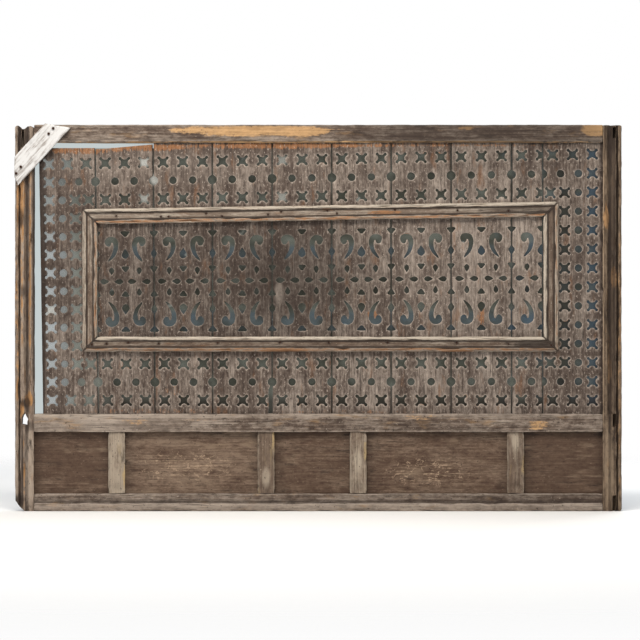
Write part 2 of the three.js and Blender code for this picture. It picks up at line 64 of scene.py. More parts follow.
# Floor: a pale disc under the screen that fades out into the pale room. The first material stands
# here, with the operators that its shader sums are written in.
class Socket:
    """A shader output on which sums and products add Math nodes."""

    def __init__(self, finish, output):
        self.finish = finish
        self.output = output

    def math(self, operation, *values):
        return self.finish.node("ShaderNodeMath", {"operation": operation}, dict(enumerate(values)))

    def __add__(self, other):
        return self.math("ADD", self, other)

    def __radd__(self, other):
        return self.math("ADD", other, self)

    def __sub__(self, other):
        return self.math("SUBTRACT", self, other)

    def __rsub__(self, other):
        return self.math("SUBTRACT", other, self)

    def __mul__(self, other):
        return self.math("MULTIPLY", self, other)

    def __rmul__(self, other):
        return self.math("MULTIPLY", other, self)

    def __abs__(self):
        return self.math("ABSOLUTE", self)

    def clamped(self, low=0.0, high=1.0):
        """From 0 to 1 as the value goes from low to high."""
        settings = {"interpolation_type": "SMOOTHSTEP"}
        return self.finish.node("ShaderNodeMapRange", settings, {0: self, 1: low, 2: high})


class Finish:
    """A material, made by adding nodes to its tree, and the record's slot that it belongs to."""

    def __init__(self, name, slot=None):
        self.slot = slot
        self.material = bpy.data.materials.new(name)
        self.material.use_nodes = True
        self.tree = self.material.node_tree
        self.shader = self.tree.nodes["Principled BSDF"]

    def link(self, value, socket):
        if isinstance(value, Socket):
            self.tree.links.new(value.output, socket)
        else:
            socket.default_value = value

    def node(self, kind, settings, inputs, output=0):
        made = self.tree.nodes.new(kind)
        for name, value in settings.items():
            setattr(made, name, value)
        for key, value in inputs.items():
            self.link(value, made.inputs[key])
        return Socket(self, made.outputs[output])

    def attribute(self, name, output=2):
        """A value that the piece's mesh carries: output 1 is its vector and 2 its number."""
        return self.node("ShaderNodeAttribute", {"attribute_name": name}, {}, output)

    def scaled(self, vector, factors):
        settings = {"operation": "MULTIPLY"}
        return self.node("ShaderNodeVectorMath", settings, {0: vector, 1: factors})

    def noise(self, vector, scale, detail, roughness, distortion=0.0):
        """Noise from 0 to 1, with a scale along each axis of the vector."""
        inputs = {"Vector": self.scaled(vector, scale), "Scale": 1.0, "Detail": detail}
        inputs.update({"Roughness": roughness, "Distortion": distortion})
        return self.node("ShaderNodeTexNoise", {}, inputs)

    def mix(self, factor, below, above):
        """Two colours, the second laid over the first by a factor."""
        return self.node("ShaderNodeMix", {"data_type": "RGBA"}, {0: factor, 6: below, 7: above}, 2)

    def set(self, **values):
        """Values or links for the shader's sockets, such as base_color."""
        for name, value in values.items():
            self.link(value, self.shader.inputs[name.replace("_", " ").title()])


def paint(red, green, blue):
    """A colour as the eye reads it, from 0 to 255, as the shader takes it."""
    linear = []
    for value in (red / 255, green / 255, blue / 255):
        linear.append(value / 12.92 if value <= 0.04045 else ((value + 0.055) / 1.055) ** 2.4)
    return (*linear, 1.0)


def added(name, points, faces, finish=None):
    """A new object with its mesh, linked to the scene."""
    mesh = bpy.data.meshes.new(name)
    mesh.from_pydata(points, [], faces)
    if finish:
        mesh.materials.append(finish.material)
    made = bpy.data.objects.new(name, mesh)
    bpy.context.scene.collection.objects.link(made)
    return made


def stage_sheet(name, corners, finish):
    made = added(name, corners, [tuple(range(len(corners)))], finish)
    return made


FLOOR_REACH = 5.0
FLOOR_FADE = (1.2, 4.2)
FLOOR_SIDES = 48
FLOOR_DROP = 0.0005
floor_finish = Finish("pale_floor")
floor_finish.set(base_color=paint(244, 243, 241), roughness=0.9)
floor_place = floor_finish.node("ShaderNodeTexCoord", {}, {}, 3)
floor_distance = floor_finish.node("ShaderNodeVectorMath", {"operation": "LENGTH"}, {0: floor_place}, 1)
floor_finish.set(alpha=1 - floor_distance.clamped(*FLOOR_FADE))
floor_corners = []
for i in range(FLOOR_SIDES):
    turn = math.tau * i / FLOOR_SIDES
    floor_corners.append((FLOOR_REACH * math.cos(turn), FLOOR_REACH * math.sin(turn), -FLOOR_DROP))
stage_sheet("floor", floor_corners, floor_finish)

# Painted shade card behind the boards: a one-sided sheet that glows with its own colours, though it
# is no lamp, and gives the holes their tones as painted shade, pale by the left stile, greenish grey
# in the middle and blue to the right. It takes no part in the light, and stands within the frame's
# depth, where an occlusion node darkens it behind the boards as painted shade.
opening_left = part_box("left_stile")[1].x
opening_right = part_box("right_stile")[0].x
field_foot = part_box("middle_rail")[1].z
field_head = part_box("top_rail")[0].z
CARD_SET_BACK = 0.009
CARD_LAP = 0.006
CARD_SHADE_REACH = 0.035
BOARD_LEAN = 0.016
BLUE_BANDS = ((0.815, 0.785, 0.745, 0.765), (0.615, 0.590, 0.530, 0.550))
BANDS_END = (0.70, 0.68)
BLUE_SIDE = (0.3, 0.9)
BLUE_EDGE = (0.795, 0.815)
# The sheet's darker column and foot are painted shade.
DARK_COLUMN = (0.715, 0.725, 0.768, 0.758)
DARK_FOOT = (0.360, 0.325)
# Painted light: the sheet grows paler towards the left stile and along the gaps at the left and the head, as
# if light leaked in there.
PALE_SIDE = (-0.60, -0.72)
BRIGHT_SIDE = (-0.72, -0.80)
BRIGHT_HEIGHTS = (1.0, 0.7)
LEFT_GAP = (-0.812, -0.820)
HEAD_GAP = (1.088, 1.095)
HEAD_GAP_END = (-0.3, -0.5)
# Painted glints: small pale spots on the sheet behind some holes.
GLINT_SIZE = (0.024, 0.008)
GLINTS = ((-0.524, 1.051, 1.0), (-0.492, 0.998, 0.8), (-0.524, 0.946, 0.7), (-0.109, 1.056, 0.5),
          (-0.109, 0.946, 0.5), (-0.806, 0.60, 0.7))
card_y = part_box("fret_board_5")[1].y + CARD_SET_BACK
card_finish = Finish("painted_shade_card")
card_place = card_finish.node("ShaderNodeTexCoord", {}, {}, 3)
card_x = card_finish.node("ShaderNodeSeparateXYZ", {}, {0: card_place})
card_z = card_finish.node("ShaderNodeSeparateXYZ", {}, {0: card_place}, 2)
card_mottle = card_finish.noise(card_place, (9, 9, 14), 3, 0.6)
card_shine = card_finish.noise(card_place, (19, 3, 23), 2, 0.5)
card_bands = 0.0
for head_start, head_full, foot_start, foot_full in BLUE_BANDS:
    band = card_z.clamped(head_start, head_full) * card_z.clamped(foot_start, foot_full)
    card_bands = band + card_bands
card_bands = card_bands * card_x.clamped(*BANDS_END) * (card_mottle * 1.3 - 0.15)
card_blue = (card_x.clamped(*BLUE_SIDE) * 0.4 + card_shine * 1.4 - 0.62).clamped(0.1, 0.7) * 0.6
card_blue = (card_bands + card_blue + card_x.clamped(*BLUE_EDGE) * 0.5).clamped()
card_dark = card_x.clamped(*DARK_COLUMN[:2]) * card_x.clamped(*DARK_COLUMN[2:]) * (card_mottle * 1.6 - 0.2)
card_low = card_z.clamped(*BRIGHT_HEIGHTS) * 0.45 + 0.4
card_pale = (card_x + card_z * BOARD_LEAN).clamped(*LEFT_GAP)
card_pale = card_pale + card_z.clamped(*HEAD_GAP) * card_x.clamped(*HEAD_GAP_END)
# Layers over the sheet's mottled greys: blue, a darker column and foot as painted shade, pale patches and a
# paler left side and gaps as painted light, then the painted glints.
card_layers = [
    (card_blue * 0.9, paint(74, 90, 102)),
    (card_dark.clamped(), paint(50, 47, 41)),
    (card_shine.clamped(0.67, 0.76) * 0.7, paint(180, 180, 168)),
    (card_z.clamped(*DARK_FOOT) * 0.75, paint(52, 46, 40)),
    (card_x.clamped(*PALE_SIDE) * card_low, paint(150, 152, 142)),
    (card_x.clamped(*BRIGHT_SIDE) * card_low, paint(198, 203, 204)),
    (card_pale.clamped(), paint(196, 204, 204)),
]
for x, z, strength in GLINTS:
    ends = {0: card_place, 1: (x, card_y, z)}
    glint = card_finish.node("ShaderNodeVectorMath", {"operation": "DISTANCE"}, ends, 1)
    card_layers.append((glint.clamped(*GLINT_SIZE) * strength, paint(220, 217, 206)))
card_color = card_finish.mix(card_mottle.clamped(0.35, 0.7), paint(74, 75, 66), paint(112, 115, 106))
for factor, color in card_layers:
    card_color = card_finish.mix(factor, card_color, color)
# Painted shade: an occlusion node darkens the sheet where the boards stand close in front of it.
card_near = {"Distance": CARD_SHADE_REACH}
card_open = card_finish.node("ShaderNodeAmbientOcclusion", {"samples": 8}, card_near, 1)
card_shade = (card_open + card_pale * 0.25).clamped(0.03, 0.38)
card_color = card_finish.mix(card_shade, paint(20, 17, 15), card_color)
# The sheet glows with these colours, though it is no lamp, and its back is transparent.
card_back = card_finish.node("ShaderNodeNewGeometry", {}, {}, 6)
card_finish.set(base_color=(0, 0, 0, 1), roughness=1.0, alpha=1 - card_back)
card_finish.set(emission_color=card_color, emission_strength=1.0)
card_left, card_right = opening_left - CARD_LAP, opening_right + CARD_LAP
card_foot, card_head = field_foot - CARD_LAP, field_head + CARD_LAP
card_corners = [
    (card_left, card_y, card_foot),
    (card_right, card_y, card_foot),
    (card_right, card_y, card_head),
    (card_left, card_y, card_head),
]
card = stage_sheet("painted_shade_card", card_corners, card_finish)
card.visible_shadow = False
card.visible_diffuse = False
card.visible_glossy = False

# Room and lights: weak cool light from all round, in a room that the camera sees as plain white. A
# broad soft light stands high in front, a weaker one to the left and one behind.
ROOM_STRENGTH = 0.45
world = bpy.data.worlds.new("pale_room")
bpy.context.scene.world = world
world.use_nodes = True
room = world.node_tree
ambient = room.nodes["Background"]
ambient.inputs["Color"].default_value = paint(236, 240, 245)
ambient.inputs["Strength"].default_value = ROOM_STRENGTH
seen = room.nodes.new("ShaderNodeBackground")
seen.inputs["Color"].default_value = (1, 1, 1, 1)
rays = room.nodes.new("ShaderNodeLightPath")
either = room.nodes.new("ShaderNodeMixShader")
room.links.new(rays.outputs["Is Camera Ray"], either.inputs[0])
room.links.new(ambient.outputs[0], either.inputs[1])
room.links.new(seen.outputs[0], either.inputs[2])
room.links.new(either.outputs[0], room.nodes["World Output"].inputs["Surface"])

LIGHT_AIM = Vector((0, 0, 0.6))
for name, place, size, power, color in (
    ("key", (-0.4, -1.9, 3.2), (2.2, 0.9), 120, (255, 250, 242)),
    ("fill", (-3.4, -2.4, 1.4), (1.6, 2.2), 26, (250, 248, 255)),
    ("behind", (1.5, 3.0, 2.6), (2.4, 1.4), 85, (245, 250, 255)),
):
    lamp = bpy.data.lights.new(name, "AREA")
    lamp.shape = "RECTANGLE"
    lamp.size, lamp.size_y = size
    lamp.energy = power
    lamp.color = paint(*color)[:3]
    light = bpy.data.objects.new(name, lamp)
    light.location = place
    light.rotation_euler = (LIGHT_AIM - Vector(place)).to_track_quat("-Z", "Y").to_euler()
    bpy.context.scene.collection.objects.link(light)
bpy.context.scene.view_settings.view_transform = "Standard"


# Rails: three lengths of sawn and planed softwood, tenoned into the stiles and ploughed for the
# boards and panels. A century outdoors has greyed them, rounded their arrises and opened checks
# along the grain, and rubbed places show the brown wood below.
WOOD_MOTTLE = (6, 20, 20)
WOOD_STREAK = (4, 190, 190)
WOOD_FIBRE = (30, 900, 900)
WOOD_CHECK = (5, 240, 240)
WOOD_TUFT = (45, 75, 75)
WOOD_SPECK = (120, 170, 170)
WOOD_RUST = (9, 34, 34)
WOOD_PLY = (42, 95, 95)
WOOD_BLOT = (13, 42, 42)
WOOD_SCRATCH = (22, 30, 30)
WOOD_FLECK = (60, 95, 95)
RAW_SHADE = 0.62
CHECK_COLOR = paint(34, 27, 23)
PIT_COLOR = paint(40, 31, 26)
GRIME_AND_SHADE_COLOR = paint(42, 33, 28)
BUMP_HEIGHT = 0.0022
WOOD_SHEEN = 0.25


def weathered(name, slot, dark, middle, light, raw, rough=0.86, relief=0.5, tone=0.0, streaked=1.0,
              stains=0.3, scratches=0.0, fine=1.0, rim=1.0, flecks=0.5):
    """Bare old wood. dark, middle and light are its greys, and raw is what shows where it is rubbed.
    tone makes it paler, streaked and stains set its stripes and blots, fine how close its grain is,
    rim how pale its arrises are and flecks its pale specks. scratches run any way where it is raw."""
    dark, middle, light, raw = paint(*dark), paint(*middle), paint(*light), paint(*raw)
    made = Finish(name, slot)
    grain = made.scaled(made.attribute("grain", 1), (1, fine, fine))
    arris = made.attribute("arris")
    soil = made.attribute("soil")
    mottle = made.noise(grain, WOOD_MOTTLE, 5, 0.62)
    streak = made.noise(grain, WOOD_STREAK, 5, 0.7, 0.3)
    fibre = made.noise(grain, WOOD_FIBRE, 3, 0.6)
    check = made.noise(grain, WOOD_CHECK, 2, 0.5, 0.3)
    tuft = made.noise(grain, WOOD_TUFT, 4, 0.7)
    speck = made.noise(grain, WOOD_SPECK, 2, 0.5)
    ply = made.noise(grain, WOOD_PLY, 6, 0.75)
    depth = streak * streaked + ply * 0.9 + mottle * 0.5 + tuft * 0.5 - 0.5 * (streaked + 0.9)
    color = made.mix(depth.clamped(0.2, 0.85), dark, middle)
    pale = mottle * 0.7 + (streak * 0.5 - 0.25) * streaked + ply * 0.5 + fibre * 0.35 + tone - 0.25
    color = made.mix(pale.clamped(0.42, 0.80) * 0.85, color, light)
    # Paler arrises: partly worn wood, partly a painted highlight along the edges.
    color = made.mix((arris * (tuft * 1.8 - 0.35) * rim).clamped() * 0.75, color, light)
    # Paler where the piece's bleach values lie: sun-bleached wood, and painted highlight on faces and
    # arrises that catch the light.
    bleached_or_lit = made.attribute("sun") * (mottle * 1.5 + streak * 0.8 + tuft * 0.6 - 0.55)
    color = made.mix(bleached_or_lit.clamped(0.0, 1.1), color, light)
    wear = made.attribute("raw")
    rubbed = wear + (streak - 0.5) * 1.6 + (tuft - 0.5) * 1.5
    rubbed = (rubbed * wear.clamped(0.02, 0.3)).clamped(0.35, 0.75)
    shaded_raw = [value * RAW_SHADE for value in raw]
    fresh = made.mix((tuft * 0.5 + streak * 0.5).clamped(0.36, 0.62), shaded_raw, raw)
    color = made.mix(rubbed * 0.9, color, fresh)
    color = made.mix(speck.clamped(0.68 - flecks * 0.04, 0.76 - flecks * 0.04) * 0.6, color, light)
    rust = made.noise(grain, WOOD_RUST, 4, 0.65)
    color = made.mix(rust.clamped(0.56, 0.74) * 0.55, color, shaded_raw)
    open_check = abs(check - 0.5).clamped(0.03, 0.0) * mottle.clamped(0.48, 0.62)
    color = made.mix(open_check * 0.7, color, CHECK_COLOR)
    color = made.mix(speck.clamped(0.35, 0.27) * 0.75, color, PIT_COLOR)
    if scratches:
        line = made.noise(grain, WOOD_SCRATCH, 3, 0.6, 0.8)
        line = abs(line - 0.5).clamped(0.022, 0.008) * wear.clamped(0.05, 0.35)
        fleck = made.noise(grain, WOOD_FLECK, 2, 0.6).clamped(0.50, 0.58)
        color = made.mix(line * fleck * scratches, color, raw)
    blot = made.noise(grain, WOOD_BLOT, 5, 0.7)
    # Darker by the piece's soil values: real dirt and blots, and painted shade where they mark recesses.
    stained_or_shaded = (soil * (0.45 + tuft * 1.1) + blot.clamped(0.54, 0.70) * stains).clamped() * 0.85
    color = made.mix(stained_or_shaded, color, GRIME_AND_SHADE_COLOR)
    height = fibre * 0.3 + streak * 0.6 + tuft * 0.3 - open_check * 1.2
    bump_inputs = {"Strength": relief, "Distance": BUMP_HEIGHT, "Height": height}
    bump = made.node("ShaderNodeBump", {}, bump_inputs)
    made.set(base_color=color, roughness=rough - fibre * 0.12, normal=bump)
    made.shader.inputs["Specular IOR Level"].default_value = WOOD_SHEEN
    return made


rail_finish = weathered(
    "rail_wood",
    "frame_wood",
    dark=(66, 53, 45),
    middle=(112, 95, 82),
    light=(168, 154, 140),
    raw=(192, 152, 106),
    stains=0.4,
)


class Spots:
    """Soft-edged places on the screen's front, where wood is rubbed raw, say, or soiled, or where shade or
    a highlight is painted. Each is the x and z of its middle, its reach along x and z, and its strength."""

    def __init__(self, *spots):
        self.spots = spots

    def at(self, x, z):
        total = 0.0
        for middle_x, middle_z, reach_x, reach_z, strength in self.spots:
            away = ((x - middle_x) / reach_x) ** 2 + ((z - middle_z) / reach_z) ** 2
            total += strength * math.exp(-(away ** 2) / 1.5)
        return total


NOWHERE = Spots()
SHARP_ANGLE = math.radians(50)
VALUE_NAMES = ("grain", "arris", "raw", "soil", "sun")


def finish_piece(name, points, faces, finish, nodes, rows):
    """A mesh that rides on the screen. rows hold each point's values, the first of them a vector."""
    fans = [(face[0], face[i], face[i + 1]) for face in faces for i in range(1, len(face) - 1)]
    a, b, c = np.array(points)[np.array(fans).T]
    if np.einsum("ij,ij->", a, np.cross(b, c)) < 0:
        faces = [tuple(reversed(face)) for face in faces]
    made = added(name, points, faces, finish)
    mesh = made.data
    for label, numbers in zip(VALUE_NAMES, zip(*rows)):
        kind, field = ("FLOAT_VECTOR", "vector") if label == "grain" else ("FLOAT", "value")
        data = mesh.attributes.new(label, kind, "POINT").data
        data.foreach_set(field, np.asarray(numbers, np.float32).ravel())
    mesh.polygons.foreach_set("use_smooth", [True] * len(mesh.polygons))
    mesh.set_sharp_from_angle(angle=SHARP_ANGLE)
    mesh.validate()
    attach(made, "root")
    if nodes:
        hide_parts(*nodes)
    return made


def pairs(ring):
    """Each item of a ring with the one after it."""
    return zip(ring, ring[1:] + ring[:1])


def turn_of(ring):
    """Twice the area of a ring of points, above zero where it runs anticlockwise."""
    return sum(a[0] * b[1] - b[0] * a[1] for a, b in pairs(ring))


def stacked(around, count, start=0):
    """The faces of a solid whose points are a stack of rings, so many around each."""
    last = start + (count - 1) * around
    faces = []
    for ring in range(start, last, around):
        for i in range(around):
            a, b = ring + i, ring + (i + 1) % around
            faces.append((a, b, b + around, a + around))
    return faces + [tuple(reversed(range(start, start + around))), tuple(range(last, last + around))]


ARRIS_EASE = 0.002
ARRIS_REACH = 0.004
SECTION_SPACING = 0.0045


def worked_section(corners):
    """A section's outline with eased arrises, as rows of place, outward normal, arris and nook."""
    corners = [Vector(c) for c in corners]
    if turn_of(corners) < 0:
        corners.reverse()
    outline = []
    for i, here in enumerate(corners):
        before = corners[i - 1] - here
        after = corners[(i + 1) % len(corners)] - here
        convex = before.x * after.y - before.y * after.x < 0
        ease = min(ARRIS_EASE, before.length * 0.3, after.length * 0.3)
        near, far = here + before.normalized() * ease, here + after.normalized() * ease
        outline.append((near, convex))
        outline.append((here * 0.45 + (near + far) * 0.275 if convex else here, convex))
        outline.append((far, convex))
    dense = []
    for (here, convex), (ahead, ahead_convex) in pairs(outline):
        steps = max(1, round((ahead - here).length / SECTION_SPACING))
        for step in range(steps):
            at = here.lerp(ahead, step / steps)
            from_here, from_ahead = (at - here).length, (at - ahead).length
            weight = math.exp(-((min(from_here, from_ahead) / ARRIS_REACH) ** 2))
            kind = convex if from_here <= from_ahead else ahead_convex
            dense.append((at, weight if kind else 0.0, 0.0 if kind else weight))
    rows = []
    for i, (at, arris, nook) in enumerate(dense):
        tangent = dense[(i + 1) % len(dense)][0] - dense[i - 1][0]
        rows.append((at, Vector((tangent.y, -tangent.x)).normalized(), arris, nook))
    return rows


SWELL = 0.0007
CHIP = 0.006
DENT = 0.0025
SKIN = 0.0003
END_LOSS = 0.002
END_REACH = 0.006
END_SOIL_REACH = 0.003
RAW_PER_CHIP = 60
RAW, SOIL_AND_SHADE, SUN_AND_HIGHLIGHT = 0, 1, 2


def worn_bar(name, corners, length, place, finish, nodes, seed, wear=1.0, step=0.009,
             raw=NOWHERE, soil=NOWHERE, sun=NOWHERE, nook_soil=0.55, end_soil=0.0, reshape=None,
             bands=()):
    """A length of timber. corners give its section, and place(along, u, v) sets a point of it.
    Each of its bands has a middle and a reach across the section, what it adds to and how much."""
    section = worked_section(corners)
    count = max(2, round(length / step))
    points, rows = [], []
    for j in range(count + 1):
        along = length * j / count
        end = min(along, length - along)
        for at, normal, arris, nook in section:
            u, v = reshape(along, *at) if reshape else at
            lot = Vector((along * 9 + seed * 7.3, u * 60, v * 60))
            swell = noise.noise(Vector((along * 5 + seed, u * 12, v * 12))) * SWELL
            chip = max(0.0, noise.noise(lot * 2.2) + 0.12) ** 1.3 * arris * CHIP * wear
            dent = max(0.0, noise.noise(lot * 5.0) - 0.25) * DENT * wear
            ends = arris * math.exp(-((end / END_REACH) ** 2)) * END_LOSS
            away = swell - chip - dent - ends - abs(swell) - SKIN
            x, y, z = place(along, u + normal.x * away, v + normal.y * away)
            points.append((x, y, z))
            more = [0.0, 0.0, 0.0]
            for middle, reach, which, strength in bands:
                more[which] += strength * math.exp(-(((at.x - middle) / reach) ** 4))
            # Darker in the section's concave nooks, and at the ends by end_soil.
            nook_and_end_darkening = nook * nook_soil + end_soil * math.exp(-((end / END_SOIL_REACH) ** 2))
            rows.append((
                (along + seed * 1.7, u + seed * 0.31, v),
                arris,
                raw.at(x, z) + chip * RAW_PER_CHIP + more[RAW],
                nook_and_end_darkening + soil.at(x, z) + more[SOIL_AND_SHADE],
                sun.at(x, z) + more[SUN_AND_HIGHLIGHT],
            ))
    return finish_piece(name, points, stacked(len(section), count + 1), finish, nodes, rows)


FIT = 0.0004
STILE_WIDTH = 0.058
HOUSING = 0.008
BOARD_SET_BACK = 0.010
BOARD_THICKNESS = 0.020
PANEL_SET_BACK = 0.016
PANEL_THICKNESS = 0.012
RAIL_CHAMFER = 0.005
NOSING_HEIGHT = 0.024
NOSING_SET_BACK = 0.005
NOSING_STEPS = 6
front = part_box("middle_rail")[0].y
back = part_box("middle_rail")[1].y
rail_left = opening_left + FIT
rail_length = opening_right - opening_left - 2 * FIT
board_groove = (front + BOARD_SET_BACK - FIT, front + BOARD_SET_BACK + BOARD_THICKNESS + FIT)
panel_groove = (front + PANEL_SET_BACK - FIT, front + PANEL_SET_BACK + PANEL_THICKNESS + FIT)


def notch(groove, edge, direction):
    """The corners of a groove along a member's edge, from its front arris to its back one."""
    deep = edge + direction * (HOUSING + FIT)
    return [(groove[0], edge), (groove[0], deep), (groove[1], deep), (groove[1], edge)]


def along_x(along, u, v):
    return (rail_left + along, u, v)


top_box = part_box("top_rail")
top_section = [
    (front, top_box[0].z + RAIL_CHAMFER),
    (front + RAIL_CHAMFER, top_box[0].z),
    *notch(board_groove, top_box[0].z, 1),
    (back, top_box[0].z),
    (back, top_box[1].z),
    (front, top_box[1].z),
]
top_raw = Spots(
    (-0.10, 1.147, 0.16, 0.008, 0.5),
    (-0.22, 1.142, 0.20, 0.016, 1.0),
    (-0.05, 1.138, 0.07, 0.012, 0.8),
    (0.84, 1.145, 0.05, 0.02, 1.1),
    (0.44, 1.150, 0.03, 0.006, 0.9),
    (0.1, 1.108, 0.9, 0.004, 0.75),
)
top_soil = Spots(
    (0.50, 1.13, 0.40, 0.05, 0.62),
    (0.08, 1.13, 0.3, 0.05, 0.05),
    (-0.05, 1.16, 0.9, 0.006, 0.2),
    (-0.35, 1.115, 0.3, 0.008, 0.3),
)
worn_bar("old_top_rail", top_section, rail_length, along_x, rail_finish, ["top_rail"], 1,
         raw=top_raw, soil=top_soil)

middle_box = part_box("middle_rail")
middle_section = [
    (front, middle_box[0].z),
    *notch(panel_groove, middle_box[0].z, 1),
    (back, middle_box[0].z),
    (back, middle_box[1].z),
    *reversed(notch(board_groove, middle_box[1].z, -1)),
    (front, middle_box[1].z),
]
middle_sun = Spots((-0.68, 0.265, 0.26, 0.06, 0.55), (0.0, 0.286, 0.95, 0.008, 0.45))
middle_raw = Spots(
    (-0.55, 0.268, 0.04, 0.015, 0.55),
    (-0.35, 0.275, 0.08, 0.006, 0.4),
    (0.30, 0.282, 0.07, 0.010, 0.4),
    (0.66, 0.258, 0.035, 0.014, 0.6),
    (0.05, 0.245, 0.5, 0.004, 0.3),
)
middle_soil = Spots((0.30, 0.262, 0.12, 0.010, 0.3), (0.06, 0.27, 0.04, 0.012, 0.3))
worn_bar("old_middle_rail", middle_section, rail_length, along_x, rail_finish, ["middle_rail"], 2,
         sun=middle_sun, raw=middle_raw, soil=middle_soil)

bottom_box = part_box("bottom_rail")
nosing = []
for i in range(NOSING_STEPS + 1):
    turn = math.pi / 2 * (i / NOSING_STEPS)
    y = front + NOSING_SET_BACK * (1 - math.sin(turn))
    nosing.append((y, NOSING_HEIGHT - NOSING_SET_BACK * (1 - math.cos(turn))))
bottom_section = [
    (front, 0.0),
    (back, 0.0),
    (back, bottom_box[1].z),
    *reversed(notch(panel_groove, bottom_box[1].z, -1)),
    (front + NOSING_SET_BACK, bottom_box[1].z),
    *nosing,
]
# The nosing is paler, partly weathered and partly a painted highlight on its rounded front.
bottom_sun = Spots((0, 0.014, 1.5, 0.011, 0.6))
bottom_soil = Spots((0, 0.030, 1.5, 0.004, 0.5), (0.5, 0.045, 0.4, 0.01, 0.25))
worn_bar("old_bottom_rail", bottom_section, rail_length, along_x, rail_finish, ["bottom_rail"], 3,
         sun=bottom_sun, soil=bottom_soil)


# Stiles: the two uprights, each a moulded length that was cut from a wider run of panelling. A
# hollow runs between two ridges above the middle rail, with a quirk and a bead outside. Their
# heads are rotted, mortises for vanished rails stand open, and the left one is broken through.
QUIRK = (0.042, 0.046)
QUIRK_DEPTH = 0.011
HOLLOW = (0.012, 0.030)
HOLLOW_DEPTH = 0.0075
HOLLOW_MARK = 0.00002
BEAD_DROP = 0.004
STILE_BEAD_STEPS = 8
LEFT_HEAD = [(0, 0.009), (0.010, 0.004), (0.020, 0.005), (0.028, 0.012), (0.034, 0.016),
             (0.041, 0.008), (0.046, 0.003), (0.052, 0.003), (0.058, 0.008)]
RIGHT_HEAD = [(0, 0.002), (0.018, 0.001), (0.024, 0.003), (0.030, 0.008), (0.036, 0.005),
              (0.042, 0.001), (0.052, 0.002), (0.058, 0.004)]
FACE_DEPTH = 0.003
MORTISE_DEPTH = 0.024
MORTISE_MARGIN = 0.0012
BREAK_REACH = 0.01
LEFT_FOOT = [(0.028, 0), (0.036, 0.007), (0.045, 0.014), (0.051, 0.026), (0.058, 0.033)]
RIGHT_FOOT = [(0, 0), (0.05, 0), (0.058, 0.003)]
LEFT_MORTISES = [(top_box, 0.043, 0.011)]
RIGHT_MORTISES = [(bottom_box, 0.030, 0.018), (middle_box, 0.011, 0.027), (top_box, 0.010, 0.020)]

stile_finish = weathered(
    "stile_wood",
    "stile_wood",
    dark=(66, 50, 40),
    middle=(104, 84, 70),
    light=(162, 146, 130),
    raw=(176, 130, 82),
    stains=0.85,
    fine=1.4,
)
dark_stile_finish = weathered(
    "dark_stile_wood",
    "stile_wood",
    dark=(46, 34, 26),
    middle=(92, 74, 60),
    light=(146, 126, 104),
    raw=(172, 132, 92),
    tone=-0.08,
    stains=0.7,
    fine=1.4,
)


def interpolated(table, at):
    """The loss at a place across a stile's end, from a table of a few."""
    return float(np.interp(at, [row[0] for row in table], [row[1] for row in table]))


def stile_section():
    """From the inner edge outwards: ridge, the hollow's place, ridge, quirk, bead, and the back."""
    bead = []
    for i in range(STILE_BEAD_STEPS + 1):
        turn = math.pi * i / STILE_BEAD_STEPS
        u = QUIRK[1] + (STILE_WIDTH - QUIRK[1]) * (0.5 - math.cos(turn) / 2)
        bead.append((u, front + BEAD_DROP * (1 - math.sin(turn))))
    middle = (HOLLOW[0] + HOLLOW[1]) / 2
    return [
        (0, front),
        (HOLLOW[0], front),
        (middle, front + HOLLOW_MARK),
        (HOLLOW[1], front),
        (QUIRK[0], front),
        (QUIRK[0], front + QUIRK_DEPTH),
        (QUIRK[1], front + QUIRK_DEPTH),
        *bead,
        (STILE_WIDTH, back),
        (0, back),
        (0, board_groove[1]),
        (HOUSING + FIT, board_groove[1]),
        (HOUSING + FIT, board_groove[0]),
        (0, board_groove[0]),
    ]


def ring_of(corners, spacing=0.0065, seed=0.0, rough=0.0, pitch=40, skew=1.7):
    """Points along an outline, kept at its corners, and moved a little by noise."""
    made = []
    for here, ahead in pairs([Vector(corner) for corner in corners]):
        steps = max(1, round((ahead - here).length / spacing))
        for step in range(steps):
            at = here.lerp(ahead, step / steps)
            spot = Vector((at.x * pitch, at.y * pitch, seed))
            made.append((at.x + noise.noise(spot) * rough, at.y + noise.noise(spot * skew) * rough))
    return made


def break_away(piece, outline):
    """Takes a prism, longer than the frame is deep, away from a piece."""
    points = [(x, y, z) for y in (back + BREAK_REACH, front - BREAK_REACH) for x, z in outline]
    tool = added("break", points, stacked(len(outline), 2))
    bpy.context.view_layer.objects.active = piece
    change = piece.modifiers.new("loss", "BOOLEAN")
    change.object = tool
    change.solver = "EXACT"
    bpy.ops.object.modifier_apply(modifier=change.name)
    bpy.data.objects.remove(tool)
    piece.data.set_sharp_from_angle(angle=SHARP_ANGLE)


